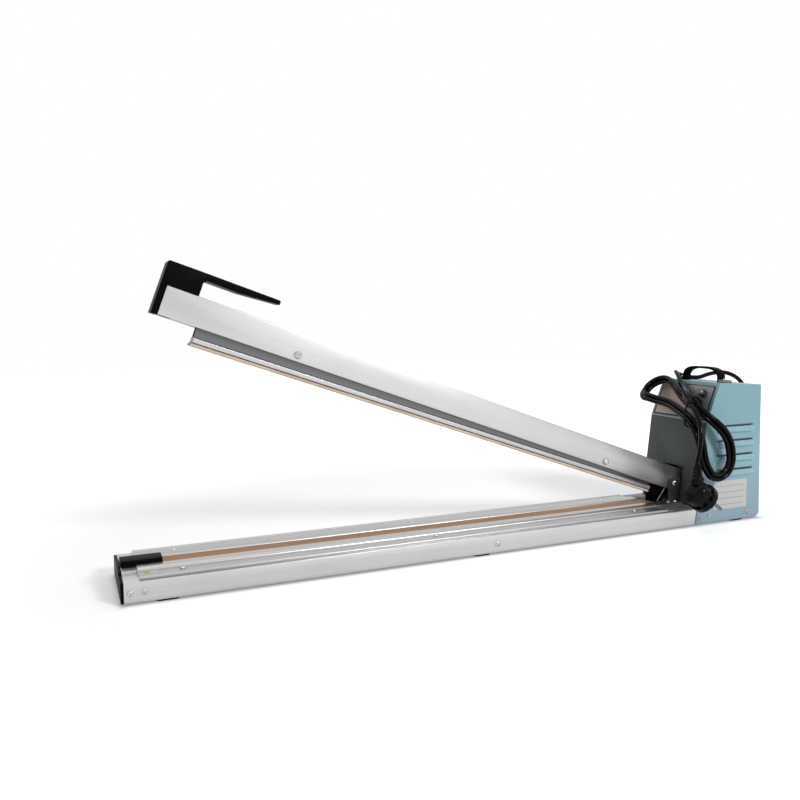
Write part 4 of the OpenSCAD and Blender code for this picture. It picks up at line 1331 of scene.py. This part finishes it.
@dataclass
class MainsCord:
    """One lead from the gland over the housing, three turns of hank, and the plug.

    The routes are in millimetres.

    Attributes:
        finishes: The part's materials.
        diameter: The cord's diameter.
        length: Its declared length; not used.
        turns: Turns of the hank.
        bundle: How far a strand lies from the middle of the bundle, in millimetres.
        phase: Where round the bundle the first strand starts, in degrees.
        joins: Points of the ring that the lead skips.
        leaves: Points of the ring that the drop skips.
        lead: From the gland to the hank.
        ring: Middle of the hank's bundle.
        drop: From the hank to the plug.
        tie: Loop of wire round the bundle.
        wire: Radius of that wire.
    """

    finishes: Finishes
    diameter: float = 6 * MM
    length: float = 1.784
    turns: int = 3
    bundle: float = 3.65
    phase: float = 100.0
    joins: int = 1
    leaves: int = 3
    lead: tuple[Point, ...] = (
        (422, 30, 120), (434, 30, 120), (448, 31, 123), (460, 32, 132), (466, 34, 146),
        (465, 36, 161), (456, 38, 175), (442, 40, 184), (425, 43, 188), (406, 46, 186),
        (388, 47, 182), (370, 48, 183), (354, 48, 187), (341, 42, 191), (331, 29, 191),
        (323, 14, 184), (316, 1, 177), (308, -12, 173), (300, -24, 171), (294, -36, 168),
        (292, -48, 162), (294, -57, 152),
    )
    ring: tuple[Point, ...] = (
        (298, -60, 145), (307, -67, 135), (319, -69, 124), (328, -69, 111), (333, -68, 97),
        (334, -67, 83), (328, -67, 71), (316, -67, 65), (303, -67, 68), (294, -67, 79),
        (289, -67, 93), (286, -67, 107), (283, -65, 120), (283, -56, 132), (286, -40, 140),
        (290, -21, 146), (293, -4, 151), (293, 11, 154), (291, 24, 156), (290, 35, 158),
        (291, 45, 159), (296, 53, 163), (303, 56, 169), (311, 55, 175), (317, 48, 180),
        (319, 39, 182), (318, 28, 181), (314, 17, 178), (310, 6, 174), (305, -6, 169),
        (301, -19, 163), (298, -33, 157), (297, -47, 152),
    )
    drop: tuple[Point, ...] = (
        (290, -34, 161), (285, -49, 156), (281, -63, 146), (278, -73, 133), (275, -78, 119),
        (274, -78, 106), (275, -75, 96), (275, -73, 90), (275, -73, 84),
    )
    tie: tuple[Point, ...] = (
        (282, -47, 160), (288, -47, 165), (295, -47, 166), (302, -47, 160), (305, -47, 151),
        (301, -47, 142), (293, -47, 131), (284, -47, 128), (277, -47, 133), (277, -47, 145),
    )
    wire: float = 1.1 * MM

    def wound(self) -> list[Point]:
        """Points of the hank's turns, three strands laid round one another."""
        middle = [Vector(p) for p in self.ring]
        frames = carried_frames(middle, True)
        count = len(middle)
        points = []
        for j in range(self.joins, self.turns * count + 1 - self.leaves):
            _, u, v = frames[j % count]
            angle = math.radians(self.phase - 360 / self.turns * j / count)
            aside = self.bundle * (math.cos(angle) * u + math.sin(angle) * v)
            points.append(tuple(middle[j % count] + aside))
        return points

    def build(self) -> None:
        """Make the lead, the tie and the plug."""
        material = self.finishes["cord"]
        line = smooth_route([*self.lead, *self.wound(), *self.drop], 4)
        cord = strand("mains_cord", line, self.diameter / 2, 4)
        nodes = ("mains_lead", "cord_hank", "plug_lead")
        Piece("mains_cord", material, Body.MACHINE, nodes).dress(cord)
        measured = sum((b - a).length for a, b in zip(line, line[1:]))
        LOG.info("cord measures %.4f m", measured)
        plug = self.plug(material)
        tie = strand("hank_tie", smooth_route(self.tie, 6, True), self.wire, 2, True)
        Piece("hank_tie", material, Body.MACHINE, ("cord_tie",)).dress(tie)

    def plug(self, material: bpy.types.Material) -> bpy.types.Object:
        """Round angled plug with a ribbed relief.

        Args:
            material: Its plastic.

        Returns:
            The plug's object.
        """
        bm = softened("plug_body", 0.0)
        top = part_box("plug_body")[1].z
        end = Vector(self.drop[-1]) * MM
        ribs = []
        for k in range(5):
            place = Matrix.Translation((end.x, end.y, top - (3.0 + 4.2 * k) * MM))
            radius = (4.4 + 0.55 * k) * MM
            rib = [(radius, -0.9 * MM), (radius + 0.9 * MM, 0.0), (radius, 0.9 * MM)]
            ribs.append(lathe(rib, 28, place))
        piece = Piece("plug_dressed", material, Body.MACHINE, ("plug_body",), 30.0)
        return piece.make(joined([bm, *ribs]))


# ---- Sub-assemblies ----


Screws = tuple[tuple[str, Body, Callable[[Vector], Vector]], ...]


@dataclass
class Assembly:
    """Solids that are rounded and screws that are drawn again.

    Attributes:
        finishes: The part's materials.
        parts: The solids.
        screws: Node, body and direction of the screws.
    """

    finishes: Finishes
    parts: tuple[Rounded, ...] = ()
    screws: Screws = ()

    def build(self) -> None:
        """Make the assembly's pieces."""
        for part in self.parts:
            part.build(self.finishes)
        for node, body, axis in self.screws:
            CrossHead(node, body, axis, self.finishes["plated_steel"]).build()


@dataclass
class Base(Assembly):
    """Extruded base with its rails, caps and screws."""

    parts: tuple[Rounded, ...] = (
        Rounded("base_body", "aluminium", 0.3, 2, 20.0, name="base_extrusion"),
        Rounded("front_rail", "rail_aluminium", 0.5, 2, 20.0),
        Rounded("rear_rail", "rail_aluminium", 0.5, 2, 20.0),
        Rounded("end_cap", "black_plastic", 0.9, 3, 2.5),
        Rounded("left_terminal_cover", "black_plastic", 0.6, 3, 5.0, name="left_cover_dressed"),
    )
    screws: Screws = (
        ("rail_screws", Body.MACHINE, upwards),
        ("bracket_screws", Body.MACHINE, upwards),
        ("base_screws", Body.MACHINE, outwards),
    )


@dataclass
class Sticker:
    """Small inspection sticker without print, half yellow and half white, on the front rail.

    Attributes:
        finishes: The part's materials.
        inset: Distance from the rail's left end; this and the next ones are in millimetres.
        middle: Where its middle lies across the base.
        size: Length and width.
        flat: Height of the rail's flat.
        thick: Thickness of the paper.
        corner: Radius of its corners.
    """

    finishes: Finishes
    inset: float = 5.0
    middle: float = -35.0
    size: tuple[float, float] = (13.5, 8.0)
    flat: float = 24.9
    thick: float = 0.12
    corner: float = 0.8

    def build(self) -> None:
        """Make the sticker on the rail's flat."""
        bm = bmesh.new()
        bmesh.ops.create_cube(bm, size=1.0)
        bmesh.ops.scale(bm, verts=bm.verts, vec=(self.size[0], self.size[1], self.thick))
        corners = [e for e in bm.edges if abs(e.verts[0].co.z - e.verts[1].co.z) > self.thick / 2]
        bmesh.ops.bevel(
            bm,
            geom=corners,
            offset=self.corner,
            offset_type="OFFSET",
            segments=4,
            profile=0.5,
            affect="EDGES",
            material=-1,
        )
        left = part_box("front_rail")[0].x / MM + self.inset
        place = (left + self.size[0] / 2, self.middle, self.flat + self.thick / 2)
        bmesh.ops.translate(bm, verts=bm.verts, vec=place)
        bmesh.ops.scale(bm, verts=bm.verts, vec=(MM, MM, MM))
        Piece("rail_sticker", self.finishes["sticker"], Body.MACHINE).make(bm)


@dataclass
class Hinge(Assembly):
    """Bracket with its ears and the springs that lift the arm."""

    parts: tuple[Rounded, ...] = (
        Rounded("pivot_bracket", "bracket_paint", 0.35, 2, 3.0),
        Rounded("return_springs", "spring_steel", crease=80.0),
    )


@dataclass
class Arm(Assembly):
    """Arm channel with its handle and hinge block, and the floating bar with its strip."""

    parts: tuple[Rounded, ...] = (
        Rounded("arm_channel", "sheet_aluminium", 0.8, 3, 20.0, Body.ARM),
        Rounded("arm_handle", "black_plastic", 0.6, 2, 3.0, Body.ARM, 50.0),
        Rounded("hinge_block", "black_plastic", 0.2, 2, 3.0, Body.ARM),
        Rounded("press_springs", "spring_steel", body=Body.ARM, crease=80.0),
        Rounded("press_bar", "bar_aluminium", 0.15, 2, 20.0, Body.BAR),
        Rounded("silicone_strip", "silicone", 0.7, 3, 5.0, Body.BAR, name="silicone_dressed"),
    )
    screws: Screws = (
        ("handle_screws", Body.ARM, into_channel),
    )


@dataclass
class Housing(Assembly):
    """Painted cover with its front plate, knobs, strap and screws.

    Attributes:
        fold: Width of the rounding along the cover's folds.
        across: Length from which a level edge crosses the cover.
        clear: How far the louvres keep from the cover's foot and roof.
    """

    parts: tuple[Rounded, ...] = (
        Rounded("front_plate", "slate_paint", 0.3, 2, 10.0),
        Rounded("timer_knob", "black_plastic", body=Body.TIMER, crease=40.0),
        Rounded("power_knob", "chrome", body=Body.POWER, crease=40.0),
        Rounded("carry_strap", "black_plastic", 0.6, 2, 1.0, crease=50.0),
    )
    screws: Screws = (
        ("housing_screws", Body.MACHINE, outwards),
        ("strap_screws", Body.MACHINE, upwards),
    )
    fold: float = 0.8 * MM
    across: float = 60 * MM
    clear: tuple[float, float] = (10 * MM, 20 * MM)

    def build(self) -> None:
        """Make the cover, whose folds need a choice of edges, and then the rest."""
        low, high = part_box("housing_cover")
        louvred = (low.z + self.clear[0], high.z - self.clear[1])
        side = abs(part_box("rating_plate")[1].y)

        def chosen(edge: bmesh.types.BMEdge) -> bool:
            """Tell whether an edge is one of the cover's folds."""
            return self.folded(edge, side, louvred)

        shape = softened("housing_cover", self.fold, 3, 20 * MM, chosen, 0.05)
        paint = self.finishes["blue_paint"]
        Piece("housing_dressed", paint, Body.MACHINE, ("housing_cover",), 30.0).make(shape)
        super().build()

    def folded(
        self, edge: bmesh.types.BMEdge, side: float, louvred: tuple[float, float]
    ) -> bool:
        """Tell whether an edge runs along a fold on the outside of the sheet.

        Args:
            edge: The edge.
            side: Half width of the cover.
            louvred: Heights between which a level edge is a louvre's.

        Returns:
            True for an edge that is to be rounded.
        """
        start, end = (v.co for v in edge.verts)
        centre = (start + end) / 2
        on_side = abs(abs(centre.y) - side) < 0.3 * MM
        level = abs(start.z - end.z) < 1 * MM
        louvre = level and louvred[0] < centre.z < louvred[1]
        return (on_side and not louvre) or abs(start.y - end.y) > self.across


@dataclass
class Carried:
    """CAD nodes that keep their own mesh and get a dressed material."""

    finishes: Finishes
    slots: ClassVar[dict[str, tuple[str, ...]]] = {
        "foot_rubber": ("rubber_feet",),
        "ptfe_cloth": ("ptfe_cloth",),
        "insulation": ("insulation_strip",),
        "nichrome": ("heating_element",),
        "brass": ("left_terminal", "right_terminal"),
        "spring_steel": ("element_spring",),
        "plated_steel": ("pivot_pin", "guide_screws", "switch_bracket", "transformer_screws"),
        "black_plastic": ("switch_body", "timer_control", "power_control", "cord_gland"),
        "backing": ("strip_backing", "switch_plunger"),
        "panel_metal": ("control_panel",),
        "lamp_lens": ("pilot_lamp",),
        "board": ("timer_board",),
        "clip_steel": ("strap_clips", "plug_pins"),
        "label": ("rating_plate",),
        "core_steel": ("transformer_core",),
        "copper": ("transformer_winding",),
    }

    def build(self) -> None:
        """Assign each node's material."""
        for slot, nodes in self.slots.items():
            for node in nodes:
                obj = frame["nodes"][node]
                if not obj.material_slots:
                    obj.data.materials.append(self.finishes[slot])
                for place in obj.material_slots:
                    place.material = self.finishes[slot]
                LOG.info("finished %s as %s", node, slot)


# ---- Studio ----


@dataclass(frozen=True)
class View:
    """Camera matched to the photograph."""

    place: Point = (-0.44051, -0.83364, 0.26482)
    yaw: float = 23.496
    pitch: float = -3.941
    roll: float = -0.480
    lens: float = 36.04
    shift: tuple[float, float] = (-0.01528, -0.02964)

    def build(self) -> None:
        """Make the camera and put it in charge."""
        yaw, pitch, roll = (math.radians(a) for a in (self.yaw, self.pitch, self.roll))
        level = math.cos(pitch)
        ahead = Vector((math.sin(yaw) * level, math.cos(yaw) * level, math.sin(pitch)))
        right = Vector((math.cos(yaw), -math.sin(yaw), 0.0))
        above = right.cross(ahead)
        turned = math.cos(roll) * right + math.sin(roll) * above
        top = -math.sin(roll) * right + math.cos(roll) * above
        camera = bpy.data.cameras.new("photo_view")
        camera.lens = self.lens
        camera.sensor_width = 36.0
        camera.shift_x, camera.shift_y = self.shift
        camera.clip_start = 0.01
        obj = bpy.data.objects.new("photo_view", camera)
        aim = Matrix((turned, top, -ahead)).transposed().to_4x4()
        obj.matrix_world = Matrix.Translation(self.place) @ aim
        bpy.context.scene.collection.objects.link(obj)
        bpy.context.scene.camera = obj


@dataclass(frozen=True)
class Softbox:
    """Square area light that looks at the middle of the machine."""

    name: str
    place: Point
    size: float
    watts: float
    target: Point = (0.0, 0.0, 0.08)

    def build(self) -> None:
        """Make the light."""
        light = bpy.data.lights.new(self.name, "AREA")
        light.shape = "SQUARE"
        light.size = self.size
        light.energy = self.watts
        obj = bpy.data.objects.new(self.name, light)
        obj.location = self.place
        ahead = Vector(self.target) - Vector(self.place)
        obj.rotation_euler = ahead.to_track_quat("-Z", "Y").to_euler()
        bpy.context.scene.collection.objects.link(obj)


@dataclass
class Studio:
    """White room: pale floor, soft boxes and a backdrop that the camera sees as white.

    Attributes:
        boxes: The area lights.
        ambient: Strength of the room's own light.
        room: Its colour.
        floor_pale: Two colours of the floor.
        near_glow: What a ray sees added to the floor round the middle.
        contact_shadow: Painted shadow colour of the floor at the machine's foot.
        contact_shadow_glow: What a ray sees added there, dimmed as part of the painted shadow.
        contact_shadow_reach: How far from the foot the painted shadow goes.
    """

    boxes: tuple[Softbox, ...] = (
        Softbox("key", (0.6, -1.5, 1.1), 0.45, 20.0),
        Softbox("fill", (-1.4, -1.0, 0.9), 1.4, 2.5),
        Softbox("top", (0.1, 0.5, 1.7), 1.6, 7.0),
    )
    ambient: float = 0.32
    room: Rgb = (236, 240, 245)
    floor_pale: tuple[Rgb, Rgb] = ((243, 243, 243), (247, 247, 247))
    near_glow: Rgb = (160, 160, 160)
    contact_shadow: Rgb = (190, 190, 191)
    contact_shadow_glow: Rgb = (118, 118, 119)
    contact_shadow_reach: float = 9.0 * MM

    def build(self) -> None:
        """Make the world, the floor and the lights."""
        scene = bpy.context.scene
        scene.view_settings.view_transform = "Standard"
        world = bpy.data.worlds.new("studio")
        scene.world = world
        world.use_nodes = True
        tree = world.node_tree
        tree.nodes.clear()
        output = tree.nodes.new("ShaderNodeOutputWorld")
        path = tree.nodes.new("ShaderNodeLightPath")
        blend = tree.nodes.new("ShaderNodeMixShader")
        room, seen = (tree.nodes.new("ShaderNodeBackground") for _ in range(2))
        room.inputs[0].default_value = linear(self.room)
        room.inputs[1].default_value = self.ambient
        seen.inputs[0].default_value = linear(WHITE)
        shown = path.outputs[SEEN_BY[0]]
        for name in SEEN_BY[1:]:
            either = tree.nodes.new("ShaderNodeMath")
            either.operation = "MAXIMUM"
            tree.links.new(shown, either.inputs[0])
            tree.links.new(path.outputs[name], either.inputs[1])
            shown = either.outputs[0]
        tree.links.new(shown, blend.inputs[0])
        tree.links.new(room.outputs[0], blend.inputs[1])
        tree.links.new(seen.outputs[0], blend.inputs[2])
        tree.links.new(blend.outputs[0], output.inputs[0])
        self.floor()
        for box in self.boxes:
            box.build()

    def floor(self) -> None:
        """Pale floor that takes the machine's shadow, with a painted shadow round its foot."""
        bm = bmesh.new()
        bmesh.ops.create_grid(bm, x_segments=2, y_segments=2, size=4.0)
        mesh = bpy.data.meshes.new("floor")
        bm.to_mesh(mesh)
        bm.free()
        obj = bpy.data.objects.new("floor", mesh)
        look = Look("floor_white")
        cloud = look.noise(3.0, 2.0)
        far = look.node("ShaderNodeVectorMath", {"operation": "LENGTH"}, {0: look.place()}, "Value")
        rays = [look.node("ShaderNodeLightPath", {}, {}, name) for name in SEEN_BY]
        shown = rays[0].most(rays[1]).most(rays[2])
        glow = look.mix(far.step(0.4, 1.0), self.near_glow, WHITE)
        base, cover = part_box("base_body"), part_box("housing_cover")
        middle, half = (cover[1].x + base[0].x) / 2, (cover[1].x - base[0].x) / 2
        outside = (look.axis("X") - middle).size() - half
        outside = outside.most(look.axis("Y").size() - base[1].y)
        # Painted shadow: darker floor and weaker glow near the machine's foot
        shadow_near = 1.0 - outside.step(-2.0 * MM, self.contact_shadow_reach)
        glow = look.mix(shadow_near, glow, self.contact_shadow_glow)
        material = look.done(
            Base_Color=look.mix(shadow_near, look.mix(cloud, *self.floor_pale), self.contact_shadow),
            Roughness=0.9,
            Specular_IOR_Level=0.0,
            Emission_Color=look.mix(shown, (0, 0, 0), glow),
            Emission_Strength=1.0,
        )
        mesh.materials.append(material)
        bpy.context.scene.collection.objects.link(obj)


def main() -> None:
    """Build the camera, the cord, every sub-assembly and the studio."""
    logging.basicConfig(level=logging.INFO, format="%(name)s: %(message)s")
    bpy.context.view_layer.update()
    View().build()
    finishes = Finishes()
    MainsCord(finishes).build()
    for part in (Base, Sticker, Hinge, Arm, Housing, Carried):
        part(finishes).build()
    Studio().build()


if __name__ == "__main__":
    main()
